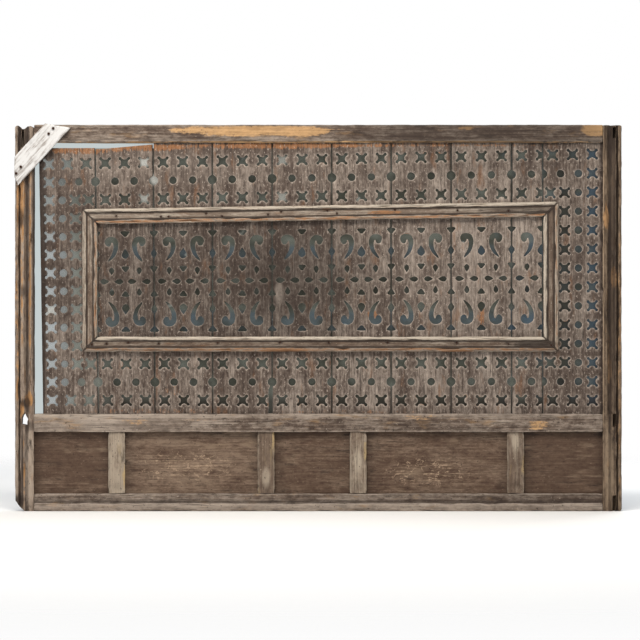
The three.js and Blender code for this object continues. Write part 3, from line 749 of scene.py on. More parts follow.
def stile(side, name, finish, head, foot, mortises, seed, **spots):
    inner = opening_left if side < 0 else opening_right
    height = top_box[1].z
    hollow_middle, hollow_half = (HOLLOW[0] + HOLLOW[1]) / 2, (HOLLOW[1] - HOLLOW[0]) / 2

    def shape(along, u, v):
        """Sinks the hollow above the middle rail and the open mortises, and stops the grooves."""
        if v < front + FACE_DEPTH:
            for box, below, above in mortises:
                middle = (box[0].z + box[1].z) / 2 + (above - below) / 2
                is_beside = HOLLOW[1] + MORTISE_MARGIN < u < QUIRK[0] - MORTISE_MARGIN
                if is_beside and abs(along - middle) < (above + below) / 2:
                    return u, v + MORTISE_DEPTH
            if along > field_foot and HOLLOW[0] < u < HOLLOW[1]:
                return u, v + HOLLOW_DEPTH * (1 - (abs(u - hollow_middle) / hollow_half) ** 4)
        elif u < HOUSING + 2 * FIT and board_groove[0] - FIT < v < board_groove[1] + FIT:
            if bottom_box[1].z - HOUSING < along < middle_box[0].z + HOUSING:
                share = (v - board_groove[0]) / (board_groove[1] - board_groove[0])
                return u, panel_groove[0] + share * (panel_groove[1] - panel_groove[0])
            if not field_foot - HOUSING < along < field_head + HOUSING:
                return 0.0, v
        return u, v

    def placed(along, u, v):
        z = max(interpolated(foot, u), min(along, height - interpolated(head, u)))
        return (inner + side * u, v, z)

    return worn_bar(f"old_{name}", stile_section(), height, placed, finish, [name], seed,
                    reshape=shape, wear=1.3, step=0.006, **spots)


left_raw = Spots(
    (-0.866, 0.75, 0.005, 0.36, 0.6),
    (-0.8905, 0.72, 0.0035, 0.36, 0.55),
    (-0.905, 0.60, 0.008, 0.45, 0.4),
    (-0.884, 0.13, 0.003, 0.11, 0.5),
    (-0.892, 0.95, 0.012, 0.10, 0.5),
    (-0.870, 0.335, 0.012, 0.02, 0.9),
    (-0.889, 0.30, 0.006, 0.03, 0.8),
)
left_sun = Spots(
    (-0.8905, 0.75, 0.0045, 0.42, 1.1),
    (-0.865, 0.75, 0.005, 0.36, 0.7),
    (-0.867, 0.13, 0.014, 0.12, 1.1),
    (-0.905, 0.15, 0.006, 0.14, 0.8),
)
# Darker places on the left stile: across the hollow, a narrow painted shadow by its inner edge, then patches
# of dirt and joint lines.
left_soil = Spots(
    (-0.8765, 0.75, 0.0085, 0.45, 0.30),
    (-0.8565, 0.75, 0.0030, 0.40, 1.0),
    (-0.885, 1.12, 0.020, 0.05, 0.5),
    (-0.895, 0.88, 0.010, 0.03, 0.8),
    (-0.890, 0.66, 0.008, 0.02, 0.7),
    (-0.880, 0.325, 0.016, 0.012, 0.9),
    (-0.866, 0.255, 0.012, 0.015, 0.6),
    (-0.8805, 0.14, 0.0015, 0.14, 1.0),
    (-0.889, 0.14, 0.0035, 0.14, 0.9),
    (-0.905, 0.03, 0.020, 0.02, 0.8),
)
left_stile = stile(-1, "left_stile", stile_finish, LEFT_HEAD, LEFT_FOOT, LEFT_MORTISES, 4,
                   raw=left_raw, soil=left_soil, sun=left_sun)
BREAK = [(0.020, -0.005), (0.019, 0.012), (0.023, 0.021), (0.0285, 0.031), (0.033, 0.024),
         (0.037, 0.014), (0.0365, -0.005)]
break_middle = (middle_box[0].z + middle_box[1].z) / 2
break_corners = [(opening_left - u, break_middle + rise) for u, rise in BREAK]
break_away(left_stile, ring_of(break_corners, 0.004, 3, rough=0.0022, pitch=90, skew=1.3))

right_raw = Spots(
    (0.865, 0.88, 0.010, 0.03, 1.0),
    (0.888, 0.70, 0.010, 0.03, 1.0),
    (0.902, 0.4, 0.008, 0.5, 0.35),
    (0.875, 0.45, 0.008, 0.08, 0.6),
)
right_soil = Spots(
    (opening_right + 0.020, 0.75, 0.010, 0.45, 0.1),
    (0.90, 0.6, 0.02, 0.8, 0.15),
    (0.883, 0.75, 0.008, 0.5, 0.45),
    (0.872, 1.12, 0.02, 0.05, 0.5),
    (0.891, 0.75, 0.006, 0.45, 0.35),
    (0.868, 0.60, 0.008, 0.05, 0.4),
)
# Paler places on the right stile; the first, a narrow line along the inner ridge's arris, is a painted
# highlight.
right_sun = Spots(
    (opening_right + 0.0015, 0.75, 0.0024, 0.42, 1.5),
    (0.873, 0.14, 0.014, 0.13, 0.8),
    (0.876, 0.98, 0.006, 0.05, 0.5),
    (0.872, 0.44, 0.009, 0.06, 0.6),
    (0.897, 0.75, 0.004, 0.25, 0.4),
)
stile(1, "right_stile", dark_stile_finish, RIGHT_HEAD, RIGHT_FOOT, RIGHT_MORTISES, 5,
      raw=right_raw, soil=right_soil, sun=right_sun)


# Muntins and lower panels: four short uprights stubbed into the rails, with five flush boards
# between them let into grooves. The panels are brown and little weathered, and two of them, the
# second and the fourth, are scuffed.
MUNTIN_TONES = (0.2, -0.22, 0.02, -0.1)
MUNTIN_MARKS = ((0.20, 0.10), (0.10, 0.21), (0.15, 0.18), (0.21, 0.14))


def muntin(number):
    name = f"muntin_{number + 1}"
    wood = weathered(
        f"muntin_wood_{number + 1}",
        "frame_wood",
        dark=(88, 72, 60),
        middle=(122, 105, 90),
        light=(166, 152, 134),
        raw=(172, 148, 108),
        tone=MUNTIN_TONES[number],
        stains=0.6,
    )
    left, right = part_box(name)[0].x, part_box(name)[1].x
    width, middle = right - left, (left + right) / 2
    foot, head = bottom_box[1].z + FIT, middle_box[0].z - FIT
    face = front + NOSING_SET_BACK
    right_groove = [(u, y) for y, u in notch(panel_groove, width, -1)]
    left_groove = [(u, y) for y, u in notch(panel_groove, 0, 1)]
    section = [(0, face), (width, face), *right_groove, (width, back), (0, back), *reversed(left_groove)]
    pale, rubbed = MUNTIN_MARKS[number]
    worn_bar(f"old_{name}", section, head - foot, lambda along, u, v: (left + u, v, foot + along),
             wood, [name], 10 + number, step=0.006,
             sun=Spots((middle, pale, 0.012, 0.03, 0.9)),
             raw=Spots((right, rubbed, 0.010, 0.035, 0.7)),
             soil=Spots((left, 0.12, 0.007, 0.15, 0.3), (middle, 0.075, 0.02, 0.012, 0.3)))


for number in range(len(MUNTIN_TONES)):
    muntin(number)


RING_SPACING = 0.85
GRID_SPACING = 1.8
EASED_REACH = 1.6
RIM_REACH = 2.6
LEAST_LOSS = 0.0007
PLATE_CHIP = 0.0035
SAWN_LAYERS = (0.3, 0.7)


def nearest(places):
    """A tree that finds the nearest of some places on the plane."""
    tree = kdtree.KDTree(len(places))
    for i, (x, z) in enumerate(places):
        tree.insert((x, z, 0), i)
    tree.balance()
    return tree


def is_within(ring, centres):
    """Which of the centres lie within a ring of points."""
    inside = np.zeros(len(centres), bool)
    for (ax, az), (bx, bz) in pairs(ring):
        if az != bz:
            crossing = (az > centres[:, 1]) != (bz > centres[:, 1])
            inside ^= crossing & (centres[:, 0] < (bx - ax) * (centres[:, 1] - az) / (bz - az) + ax)
    return inside


def plate(name, outline, holes, faces_y, finish, nodes, seed, way=(0, 1), spacing=0.0075, bow=0.0006,
          ease=0.0022, raw=NOWHERE, soil=NOWHERE, sun=NOWHERE, edge_raw=0.0):
    """A board with holes sawn through it. outline and holes are rings of (x, z) points, and way is
    the direction of its grain."""
    places, fences = [], []
    for ring in [outline] + holes:
        start = len(places)
        places += ring
        fences += [(start + i, start + (i + 1) % len(ring)) for i in range(len(ring))]
    edge_tree = nearest(places)
    for number, ring in enumerate([outline] + holes):
        outwards = (1 if turn_of(ring) > 0 else -1) * (-1 if number == 0 else 1)
        for i, (x, z) in enumerate(ring):
            before, after = ring[i - 1], ring[(i + 1) % len(ring)]
            along = Vector((after[0] - before[0], after[1] - before[1]))
            if along.length < 1e-6:
                continue
            along.normalize()
            at = (x + along.y * ease * outwards, z - along.x * ease * outwards)
            if edge_tree.find((*at, 0))[2] > ease * RING_SPACING:
                places.append(at)
    xs, zs = zip(*outline)
    for i in range(math.ceil((max(xs) - min(xs)) / spacing)):
        for j in range(math.ceil((max(zs) - min(zs)) / spacing)):
            stray = noise.cell_vector(Vector((i * 1.37, j * 1.91, seed)))
            x = min(xs) + (i + 0.25 + stray.x * 0.5) * spacing
            z = min(zs) + (j + 0.25 + stray.y * 0.5) * spacing
            if edge_tree.find((x, z, 0))[2] > ease * GRID_SPACING:
                places.append((x, z))
    found, _, triangles, _, _, _ = delaunay_2d_cdt([Vector(p) for p in places], fences, [], 0, 1e-6)
    flat = np.array([(p.x, p.y) for p in found])
    triangles = np.array([tuple(t) for t in triangles])
    centres = flat[triangles].mean(axis=1)
    kept = is_within(outline, centres)
    for ring in holes:
        kept &= ~is_within(ring, centres)
    used, triangles = np.unique(triangles[kept], return_inverse=True)
    flat = flat[used]
    triangles = triangles.reshape(-1, 3).tolist()
    sides = {}
    for a, b, c in triangles:
        for pair in ((a, b), (b, c), (c, a)):
            sides[pair] = True
    borders = [(a, b) for a, b in sides if (b, a) not in sides]
    border_tree = nearest([(flat[a] + flat[b]) / 2 for a, b in borders])
    on_border = sorted({i for pair in borders for i in pair})
    order = {i: place for place, i in enumerate(on_border)}
    y0, y1 = faces_y
    points, rows = [], []

    def add(x, z, y, arris):
        points.append((x, y, z))
        lengthwise, crosswise = x * way[0] + z * way[1], x * way[1] - z * way[0]
        fresh = max(0.0, noise.noise(Vector((x * 45, z * 45, seed))) + 0.1) * arris * edge_raw
        grain = (lengthwise + seed * 1.7, crosswise + seed * 0.31, y)
        rows.append((grain, arris, raw.at(x, z) + fresh, soil.at(x, z), sun.at(x, z)))

    for layer, y, inward in ((0, y0, 1), (1, y1, -1)):
        for i, (x, z) in enumerate(flat.tolist()):
            away = 0.0 if i in order else border_tree.find((x, z, 0))[2]
            near = max(0.0, 1 - away / (ease * EASED_REACH))
            chip = max(0.0, noise.noise(Vector((x * 70, z * 70, seed + layer))) + 0.05)
            wave = abs(noise.noise(Vector((x * 14, z * 3, seed * 3 + layer)))) * bow * 2
            lower = near ** 2 * (LEAST_LOSS + chip * PLATE_CHIP) + wave
            add(x, z, y + inward * lower, max(0.0, 1 - away / (ease * RIM_REACH)))
    for share in SAWN_LAYERS:
        for x, z in flat[on_border].tolist():
            add(x, z, y0 + (y1 - y0) * share, 0.0)
    count, ring_count = len(flat), len(order)
    faces = [tuple(t) for t in triangles]
    faces += [(a + count, c + count, b + count) for a, b, c in triangles]
    for a, b in borders:
        first, second = 2 * count + order[a], 2 * count + order[b]
        layers = [(a, b), (first, second), (first + ring_count, second + ring_count), (a + count, b + count)]
        for (near_a, near_b), (far_a, far_b) in zip(layers, layers[1:]):
            faces.append((near_b, near_a, far_a, far_b))
    return finish_piece(name, points, faces, finish, nodes, rows)


PANEL_TONES = (-0.05, 0.12, 0.0, 0.06, -0.08)
SCUFFED = {1: (-0.40, 0.135, 0.15, 0.05, 0.36), 3: (0.335, 0.118, 0.125, 0.045, 0.36)}


def box_outline(low_corner, high_corner):
    return [
        (low_corner.x, low_corner.z),
        (high_corner.x, low_corner.z),
        (high_corner.x, high_corner.z),
        (low_corner.x, high_corner.z),
    ]


for number, tone in enumerate(PANEL_TONES):
    panel_wood = weathered(
        f"panel_wood_{number + 1}",
        "panel_wood",
        dark=(70, 52, 41),
        middle=(100, 80, 65),
        light=(138, 118, 100),
        raw=(168, 144, 120),
        tone=tone - 0.06,
        relief=0.35,
        stains=0.5,
        streaked=0.7,
        scratches=0.8,
    )
    low_corner, high_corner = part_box(f"lower_panel_{number + 1}")
    # Painted shade in each panel's recess: darker beside the muntins or stiles and under the middle rail.
    shade = Spots(
        (low_corner.x, 0.15, 0.04, 0.2, 0.35),
        (high_corner.x, 0.15, 0.03, 0.2, 0.3),
        (0, high_corner.z, 2, 0.022, 0.4),
    )
    haze = Spots(SCUFFED[number]) if number in SCUFFED else NOWHERE
    plate(f"old_panel_{number + 1}", ring_of(box_outline(low_corner, high_corner)), [],
          (low_corner.y, high_corner.y), panel_wood, [f"lower_panel_{number + 1}"], 20 + number,
          way=(1, 0), bow=0.0012, raw=haze, soil=shade)


# Sawn boards: ten upright boards, open at their joints and fretted with one running pattern. Round
# the edge go three rows of crosses and rounds; within the moulding, drops, commas, triangles and
# a rosette of petals on each board. Every hole was sawn by hand, so no two are quite alike.
BOARD_SHARES = (0.935, 0.96, 0.98, 1, 1, 0.995, 1.005, 1.015, 0.52, 1)
JOINT_LEAN = (0.013, 0.010, 0.006, 0.002)
BOARD_JOINT = 0.0036
SHRINK_GAP = 0.020
DROPPED_TOPS = ((0.015, 0.015), (0.019, 0.004))
SPLIT_BOARD = 3
SPLIT_HEIGHT = 0.092
SPLIT_RISE = 0.020
SPLIT_SHARE = 0.8
CROSS_HALF = 0.016
RIPPED_BELOW = 1 / 1.5
TOP_ROW = 13
FOOT_MARGIN = 0.039
HEAD_MARGINS = (0.064, 0.033)
INNER_COLUMN = 0.63
NO_HOLES = ((), ())
THREE_CROSSES = ((1 / 6, 1 / 2, 5 / 6), ())
MIDDLE_RINGS = (THREE_CROSSES, ((), (1 / 3, 2 / 3)), THREE_CROSSES, NO_HOLES)
END_RINGS = (
    THREE_CROSSES,
    ((1 / 6,), (0.4, 0.7)),
    ((1 / 6, INNER_COLUMN, 0.87), (0.4,)),
    ((1 / 6, INNER_COLUMN), (0.4,)),
)
LAST_BOARD = len(BOARD_SHARES) - 1
full_board = (opening_right - opening_left - SHRINK_GAP) / sum(BOARD_SHARES)
joints = [opening_left + SHRINK_GAP]
for share in BOARD_SHARES:
    joints.append(joints[-1] + share * full_board)


def joint_at(index, z):
    """The middle of the joint to the left of a board, which leans where the boards have slipped."""
    lean = JOINT_LEAN[index] if index < len(JOINT_LEAN) else 0
    return joints[index] + lean * (0.5 - (z - field_foot) / (field_head - field_foot))


def row_at(row, x):
    """The height of a row of holes. The rows fan out a little from left to right."""
    across = (x - joints[0]) / (opening_right - joints[0])
    margin = HEAD_MARGINS[0] + (HEAD_MARGINS[1] - HEAD_MARGINS[0]) * across
    return field_foot + FOOT_MARGIN + row * (field_head - field_foot - FOOT_MARGIN - margin) / TOP_ROW


def on_board(index, share, row):
    """A place at a share of a board's width. The ripped board has the left of a whole one's holes."""
    ripped = BOARD_SHARES[index] < RIPPED_BELOW
    width = full_board if ripped else joints[index + 1] - joints[index]
    z = row_at(row, joints[index] + share * width)
    left = joint_at(index, z)
    return (left + share * (width if ripped else joint_at(index + 1, z) - left), z)


CORNER_CUT = 0.2


def rounded(corners):
    """A ring of points from corners given in millimetres, each of them cut off."""
    made = []
    for here, ahead in pairs(corners):
        for share in (CORNER_CUT, 1 - CORNER_CUT):
            x = here[0] * (1 - share) + ahead[0] * share
            z = here[1] * (1 - share) + ahead[1] * share
            made.append((x / 1000, z / 1000))
    return made


CROSS_LOBE = 0.0127
CROSS_LOBE_RADIUS = 0.0048
LOBE_TURN = (-62, 214)
LOBE_STEPS = 6
ROUND_SIDES = 18
BULB_SIDES = 20
TIP_POWER = 0.992
CROSS = []
for quarter in range(4):
    turn = math.pi / 2 * quarter
    lobe = [(0.0098, 0.0), (0.0110, 0.0052), (0.0124, 0.0074)]
    for i in range(LOBE_STEPS + 1):
        around = math.radians(LOBE_TURN[0] + LOBE_TURN[1] * i / LOBE_STEPS)
        lobe.append((CROSS_LOBE + CROSS_LOBE_RADIUS * math.cos(around),
                     CROSS_LOBE + CROSS_LOBE_RADIUS * math.sin(around)))
    lobe += [(0.0074, 0.0124), (0.0052, 0.0110)]
    for x, z in lobe:
        CROSS.append((x * math.cos(turn) - z * math.sin(turn), x * math.sin(turn) + z * math.cos(turn)))


def round_hole(radius):
    turns = [math.tau * i / ROUND_SIDES for i in range(ROUND_SIDES)]
    return [(radius * math.cos(turn), radius * math.sin(turn)) for turn in turns]


def bulb(width, length, belly):
    """A drop standing on its round end with its tip up, about the middle of its length."""
    power = math.log(0.5) / math.log(belly)
    made = []
    for i in range(BULB_SIDES):
        turn = math.tau * i / BULB_SIDES + math.pi / 2
        up = (1 + math.sin(turn)) / 2
        taper = math.sin(math.pi * up ** power) ** (1 if up < belly else TIP_POWER)
        side = 1 if math.cos(turn) > 1e-9 else -1 if math.cos(turn) < -1e-9 else 0
        made.append((side * width / 2 * taper, (up - 0.5) * length))
    return made


def turned(points, degrees):
    cos, sin = math.cos(math.radians(degrees)), math.sin(math.radians(degrees))
    return [(x * cos - z * sin, x * sin + z * cos) for x, z in points]


def flipped(points, across, up):
    return [(x * across, z * up) for x, z in points]


ROUND = round_hole(0.0118)
JOINT_ROUND = round_hole(0.014)
OUTER_TRIANGLE = rounded([(-17.5, -10), (17.5, -10), (0, 10)])
INNER_TRIANGLE = rounded([(-15, -10.5), (15, -10.5), (0, 10.5)])
DROP = bulb(0.023, 0.032, 0.36)
LOZENGE = rounded([(0, -16), (11.5, 0), (0, 16), (-11.5, 0)])
PETAL = bulb(0.0155, 0.024, 0.4)
LEVEL_PETAL = bulb(0.017, 0.028, 0.4)
COMMA = rounded([
    (-20.5, 21), (-19, 29), (-13, 35), (-3, 37.5), (8, 36), (16, 30), (20.5, 20), (21, 8), (18.5, -5),
    (13, -18), (5, -28), (-5, -36), (-11, -38), (-8, -31), (-2, -21), (3, -11), (5.5, 0), (6, 10),
    (3.5, 19), (0.5, 19.5), (-1.5, 12), (-6, 7.5), (-13, 8), (-18, 13),
])


def border_holes(index, cut):
    """Crosses and rounds, by how many rows they are from the head or the foot of the boards."""
    rings = END_RINGS if index in (0, LAST_BOARD) else MIDDLE_RINGS
    for row in range(TOP_ROW + 1):
        ring = min(row, TOP_ROW - row)
        crosses, rounds = rings[min(ring, len(rings) - 1)]
        for shares, shape in ((crosses, CROSS), (rounds, ROUND)):
            for share in shares:
                cut(shape, 1 - share if index == LAST_BOARD else share, row)
        if ring == 1 and index > 0:
            cut(JOINT_ROUND, 0, row)
        if ring == 1 and index < LAST_BOARD:
            cut(JOINT_ROUND, 1, row)


OUTER_TRIANGLE_ROW = 2.57
INNER_TRIANGLE_ROW = 0.64
DROP_ROW = 1.52
COMMA_ROW = 1.78
PETAL_ROW = 0.57
ROSETTES = (0.26, 0.74)
PETAL_OUT = 0.021


def field_holes(cut):
    """What a board has within the moulding, by how many rows it is above and below the middle."""
    axis = TOP_ROW / 2
    for half in (1, -1):
        for share in (0, 1 / 2, 1):
            cut(flipped(OUTER_TRIANGLE, 1, -half), share, axis + half * OUTER_TRIANGLE_ROW)
            cut(flipped(INNER_TRIANGLE, 1, -half), share, axis + half * INNER_TRIANGLE_ROW)
            cut(flipped(DROP, 1, half) if share == 1 / 2 else LOZENGE, share, axis + half * DROP_ROW)
        for side, share in zip((1, -1), ROSETTES):
            cut(flipped(COMMA, side, half), share, axis + half * COMMA_ROW)
            cut(flipped(PETAL, 1, -half), share, axis + half * PETAL_ROW)
    for share in ROSETTES:
        for side in (1, -1):
            cut(turned(LEVEL_PETAL, 90 * side), share, axis, side * PETAL_OUT)


def board_outline(index):
    """A board's corners: its foot, where the split one is cut away, and its head, dropped or not."""
    foot = field_foot - HOUSING
    drops = DROPPED_TOPS[index] if index < len(DROPPED_TOPS) else (-HOUSING, -HOUSING)
    left_head, right_head = field_head - drops[0], field_head - drops[1]

    def left(z):
        return joint_at(index, z) + (BOARD_JOINT / 2 if index > 0 else 0)

    def right(z):
        return joint_at(index + 1, z) - BOARD_JOINT / 2 if index < LAST_BOARD else opening_right + HOUSING

    corners = [(left(foot), foot), (right(foot), foot)]
    if index == SPLIT_BOARD:
        edge = right(field_foot)
        gap = SPLIT_SHARE * (full_board / 6 - CROSS_HALF - BOARD_JOINT / 2)
        corners[1:] = [(edge - gap, foot), (edge - gap, field_foot + SPLIT_HEIGHT - SPLIT_RISE),
                       (edge, field_foot + SPLIT_HEIGHT)]
    return corners + [(right(right_head), right_head), (left(left_head), left_head)]


BOARD_TONES = (-0.03, -0.04, -0.04, -0.05, -0.04, -0.01, -0.02, 0.02, 0.01, -0.05)
# The boards' paler rims round holes and edges are partly worn wood and partly painted highlight.
BOARD_RIM = 1.9
LEFT_RIMS = {0: 0.9, 1: 1.4}
JOINT_SOIL = 1.3
JOINT_SOIL_REACH = 0.0027
HOLE_SPREAD = 0.07
HOLE_LEAN = 5
SAW_WOBBLE = 0.0006
board_raw = Spots(
    (0.49, 0.590, 0.012, 0.035, 0.8),
    (0.05, 0.585, 0.02, 0.012, 0.4),
    (0.16, 0.59, 0.02, 0.012, 0.4),
    (0.43, 0.80, 0.03, 0.02, 0.4),
    (-0.72, 1.083, 0.12, 0.010, 0.75),
    (-0.50, 1.092, 0.10, 0.010, 0.85),
    (-0.15, 1.098, 0.25, 0.009, 0.85),
    (0.35, 1.100, 0.35, 0.006, 0.6),
    (-0.5, 0.300, 0.25, 0.010, 0.35),
    (0.1, 0.298, 0.3, 0.008, 0.3),
    (-0.44, 0.365, 0.03, 0.02, 0.35),
)
board_sun = Spots(
    (-0.118, 0.655, 0.013, 0.032, 1.3),
    (0.5, 0.75, 0.3, 0.3, 0.25),
    (-0.55, 1.03, 0.3, 0.06, 0.25),
    (0.0, 1.03, 0.4, 0.06, 0.15),
)
board_soil = Spots(
    (0.45, 1.00, 0.3, 0.05, 0.15),
    (-0.35, 0.70, 0.42, 0.22, 0.46),
    (0.0, 0.70, 0.22, 0.2, 0.27),
    (0.6, 1.08, 0.4, 0.05, 0.25),
    (-0.8, 0.75, 0.06, 0.5, 0.2),
    (-0.829, 0.72, 0.010, 0.45, 0.7),
)


class BoardSoil:
    """The soil on one board: what lies over them all, and the dirt along its joints."""

    def __init__(self, index):
        self.index = index

    def at(self, x, z):
        away = min(abs(x - joint_at(self.index, z)), abs(x - joint_at(self.index + 1, z)))
        return board_soil.at(x, z) + JOINT_SOIL * math.exp(-((away / JOINT_SOIL_REACH) ** 2))


for index in range(LAST_BOARD + 1):
    board_wood = weathered(
        f"board_wood_{index + 1}",
        "board_wood",
        dark=(58, 47, 41),
        middle=(106, 92, 82),
        light=(174, 160, 147),
        raw=(147, 102, 68),
        tone=BOARD_TONES[index],
        rough=0.9,
        streaked=0.55,
        rim=LEFT_RIMS.get(index, BOARD_RIM),
        flecks=1.8,
    )
    holes = []

    def cut(shape, share, row, aside=0.0):
        """Saws one hole by hand, a little large, small or askew, but true where a joint halves it."""
        x, z = on_board(index, share, row)
        x += aside
        size = 1 + noise.noise(Vector((share * 31 + index * 7, row * 9, 4.4))) * HOLE_SPREAD
        lean = noise.noise(Vector((share * 17 + index * 3, row * 5, 8.1))) * HOLE_LEAN
        ring = []
        for px, pz in turned(shape, 0 if share in (0, 1) else lean):
            spot = Vector(((x + px) * 110, (z + pz) * 110, 0.5))
            wobble = SAW_WOBBLE if px else 0.0
            ring.append((x + px * size + noise.noise(spot) * wobble,
                         z + pz * size + noise.noise(spot * 1.9) * wobble))
        holes.append(ring)

    border_holes(index, cut)
    if 0 < index < LAST_BOARD:
        field_holes(cut)
    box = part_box(f"fret_board_{index + 1}")
    plate(f"old_board_{index + 1}", ring_of(board_outline(index), seed=index, rough=0.0004), holes,
          (box[0].y, box[1].y), board_wood, [f"fret_board_{index + 1}"], 30 + index,
          raw=board_raw, soil=BoardSoil(index), sun=board_sun, edge_raw=0.9, ease=0.0016)


# Raised moulding: four mitred lengths planted on the boards with brads, two beads with a flat
# between them. Its upward faces are grey, partly weathered by sun and rain and partly painted highlight from
# the light above, and those below are not.
MOULDING_WIDTH = 0.046
BEAD_WIDTH = 0.013
BEAD_EDGE = 0.009
BEAD_HEIGHT = 0.014
BEAD_STEPS = 6
FLAT_HEIGHT = 0.010
SIDE_MARGIN = 0.019
MOULDING_FOOT_MARGIN = 0.035
MOULDING_HEAD_MARGIN = 0.027
moulding_finish = weathered(
    "moulding_wood",
    "moulding_wood",
    dark=(88, 72, 60),
    middle=(124, 106, 91),
    light=(186, 174, 158),
    raw=(152, 108, 72),
    tone=-0.02,
    stains=0.6,
    fine=1.7,
)


def bead(start):
    """A rounded bead's outline from its outer edge to its inner one."""
    made = []
    for i in range(BEAD_STEPS + 1):
        turn = math.pi * i / BEAD_STEPS
        made.append((start + BEAD_WIDTH * (0.5 - math.cos(turn) / 2),
                     BEAD_EDGE + (BEAD_HEIGHT - BEAD_EDGE) * math.sin(turn) ** 0.7))
    return made


moulding_section = [
    (0, 0),
    *bead(0)[:-1],
    (BEAD_WIDTH, FLAT_HEIGHT),
    (MOULDING_WIDTH - BEAD_WIDTH, FLAT_HEIGHT),
    *bead(MOULDING_WIDTH - BEAD_WIDTH)[1:],
    (MOULDING_WIDTH, 0),
]
axis_row = TOP_ROW / 2
moulding_left = on_board(0, INNER_COLUMN, axis_row)[0] + SIDE_MARGIN
moulding_right = on_board(LAST_BOARD, 1 - INNER_COLUMN, axis_row)[0] - SIDE_MARGIN
moulding_foot = row_at(2, 0) + MOULDING_FOOT_MARGIN


def mitre(x, z, inward_x, inward_z):
    """The outer and the inner end of the mitre at one corner."""
    outer = Vector((x, z))
    return outer, outer + Vector((inward_x, inward_z)) * MOULDING_WIDTH


def moulding_head(x):
    """The moulding's upper edge, which follows the rows of holes."""
    return row_at(TOP_ROW - 2, x) - MOULDING_HEAD_MARGIN


mitres = [
    mitre(moulding_left, moulding_foot, 1, 1),
    mitre(moulding_right, moulding_foot, -1, 1),
    mitre(moulding_right, moulding_head(moulding_right), -1, -1),
    mitre(moulding_left, moulding_head(moulding_left), 1, -1),
]
moulding_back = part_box("moulding_top")[1].y
BRAD_STAIN = (0.0050, 0.0045, 0.8)
TOP_BRADS = ((-0.607, 0), (-0.473, -4), (-0.450, -4), (-0.337, 3), (-0.289, -5), (-0.151, -2),
             (-0.112, 5), (0.027, 6), (0.056, -2), (0.230, 6), (0.418, 1), (0.571, -3))
BOTTOM_BRADS = ((-0.680, -1), (-0.636, 1), (-0.571, 5), (-0.479, 2), (-0.302, 4), (-0.115, 6),
                (0.032, 5), (0.208, 5), (0.416, 4), (0.571, 0), (0.699, -3))
brad_places = [(x, moulding_head(x) - MOULDING_WIDTH / 2 + aside / 1000) for x, aside in TOP_BRADS]
brad_places += [(x, moulding_foot + MOULDING_WIDTH / 2 + aside / 1000) for x, aside in BOTTOM_BRADS]

# Bands across each member: the bead that faces up or towards the light is paler, partly weathering and
# partly painted highlight; the quirks are darker, and the lower beads show raw wood.
OUTER_QUIRK = (0.0135, 0.0015, SOIL_AND_SHADE, 0.9)
INNER_QUIRK = (0.0325, 0.0015, SOIL_AND_SHADE, 0.9)
MEMBER_BANDS = {
    "bottom": ((0.042, 0.005, SUN_AND_HIGHLIGHT, 1.1), INNER_QUIRK, OUTER_QUIRK, (0.023, 0.008, SOIL_AND_SHADE, 0.28),
               (0.007, 0.007, RAW, 0.55), (0.007, 0.007, SOIL_AND_SHADE, 0.3)),
    "right": ((0.042, 0.005, SUN_AND_HIGHLIGHT, 0.9), INNER_QUIRK, OUTER_QUIRK, (0.006, 0.006, RAW, 0.4),
              (0.02, 0.01, SOIL_AND_SHADE, 0.2)),
    "top": ((0.004, 0.004, SUN_AND_HIGHLIGHT, 0.9), OUTER_QUIRK, INNER_QUIRK, (0.040, 0.006, RAW, 0.55),
            (0.023, 0.008, SUN_AND_HIGHLIGHT, 0.3)),
    "left": ((0.004, 0.005, SUN_AND_HIGHLIGHT, 0.2), (*OUTER_QUIRK[:3], 0.8), INNER_QUIRK, (0.040, 0.006, RAW, 0.5)),
}
moulding_raw = Spots(
    (0.20, 0.897, 0.05, 0.006, 0.9),
    (0.03, 0.905, 0.03, 0.004, 0.7),
    (-0.41, 0.884, 0.04, 0.004, 0.6),
    (-0.1, 0.482, 0.05, 0.005, 0.7),
    (0.42, 0.480, 0.04, 0.004, 0.6),
)
moulding_soil = Spots(
    (0.60, 0.905, 0.12, 0.010, 0.6),
    (0.66, 0.503, 0.06, 0.010, 0.8),
    (-0.30, 0.903, 0.12, 0.004, 0.5),
    (0.02, 0.512, 0.20, 0.003, 0.5),
    *[(x, z, *BRAD_STAIN) for x, z in brad_places],
)
for number, (name, bands) in enumerate(MEMBER_BANDS.items()):
    (start_outer, start_inner), (end_outer, end_inner) = mitres[number], mitres[(number + 1) % 4]
    run = (end_outer - start_outer).length

    def on_moulding(along, u, v):
        share = u / MOULDING_WIDTH
        start = start_outer.lerp(start_inner, share)
        end = end_outer.lerp(end_inner, share)
        at = start.lerp(end, (along + FIT * (1 - 2 * along / run)) / run)
        return (at.x, moulding_back - v, at.y)

    worn_bar(f"old_moulding_{name}", moulding_section, run, on_moulding, moulding_finish,
             [f"moulding_{name}"], 50 + number, raw=moulding_raw, soil=moulding_soil,
             bands=bands, nook_soil=0.2, end_soil=1.0, wear=1.3, step=0.006)


# Brads: small iron nails through the flats of the top and bottom members into the boards. Only
# their rusted heads show, and they are one piece here.
BRAD_RADIUS = 0.0030
BRAD_HEIGHT = 0.0007
BRAD_SINK = 0.0004
BRAD_SIDES = 8
BRAD_LAYERS = ((1.0, 0.0), (0.9, 0.8), (0.45, 1.0))

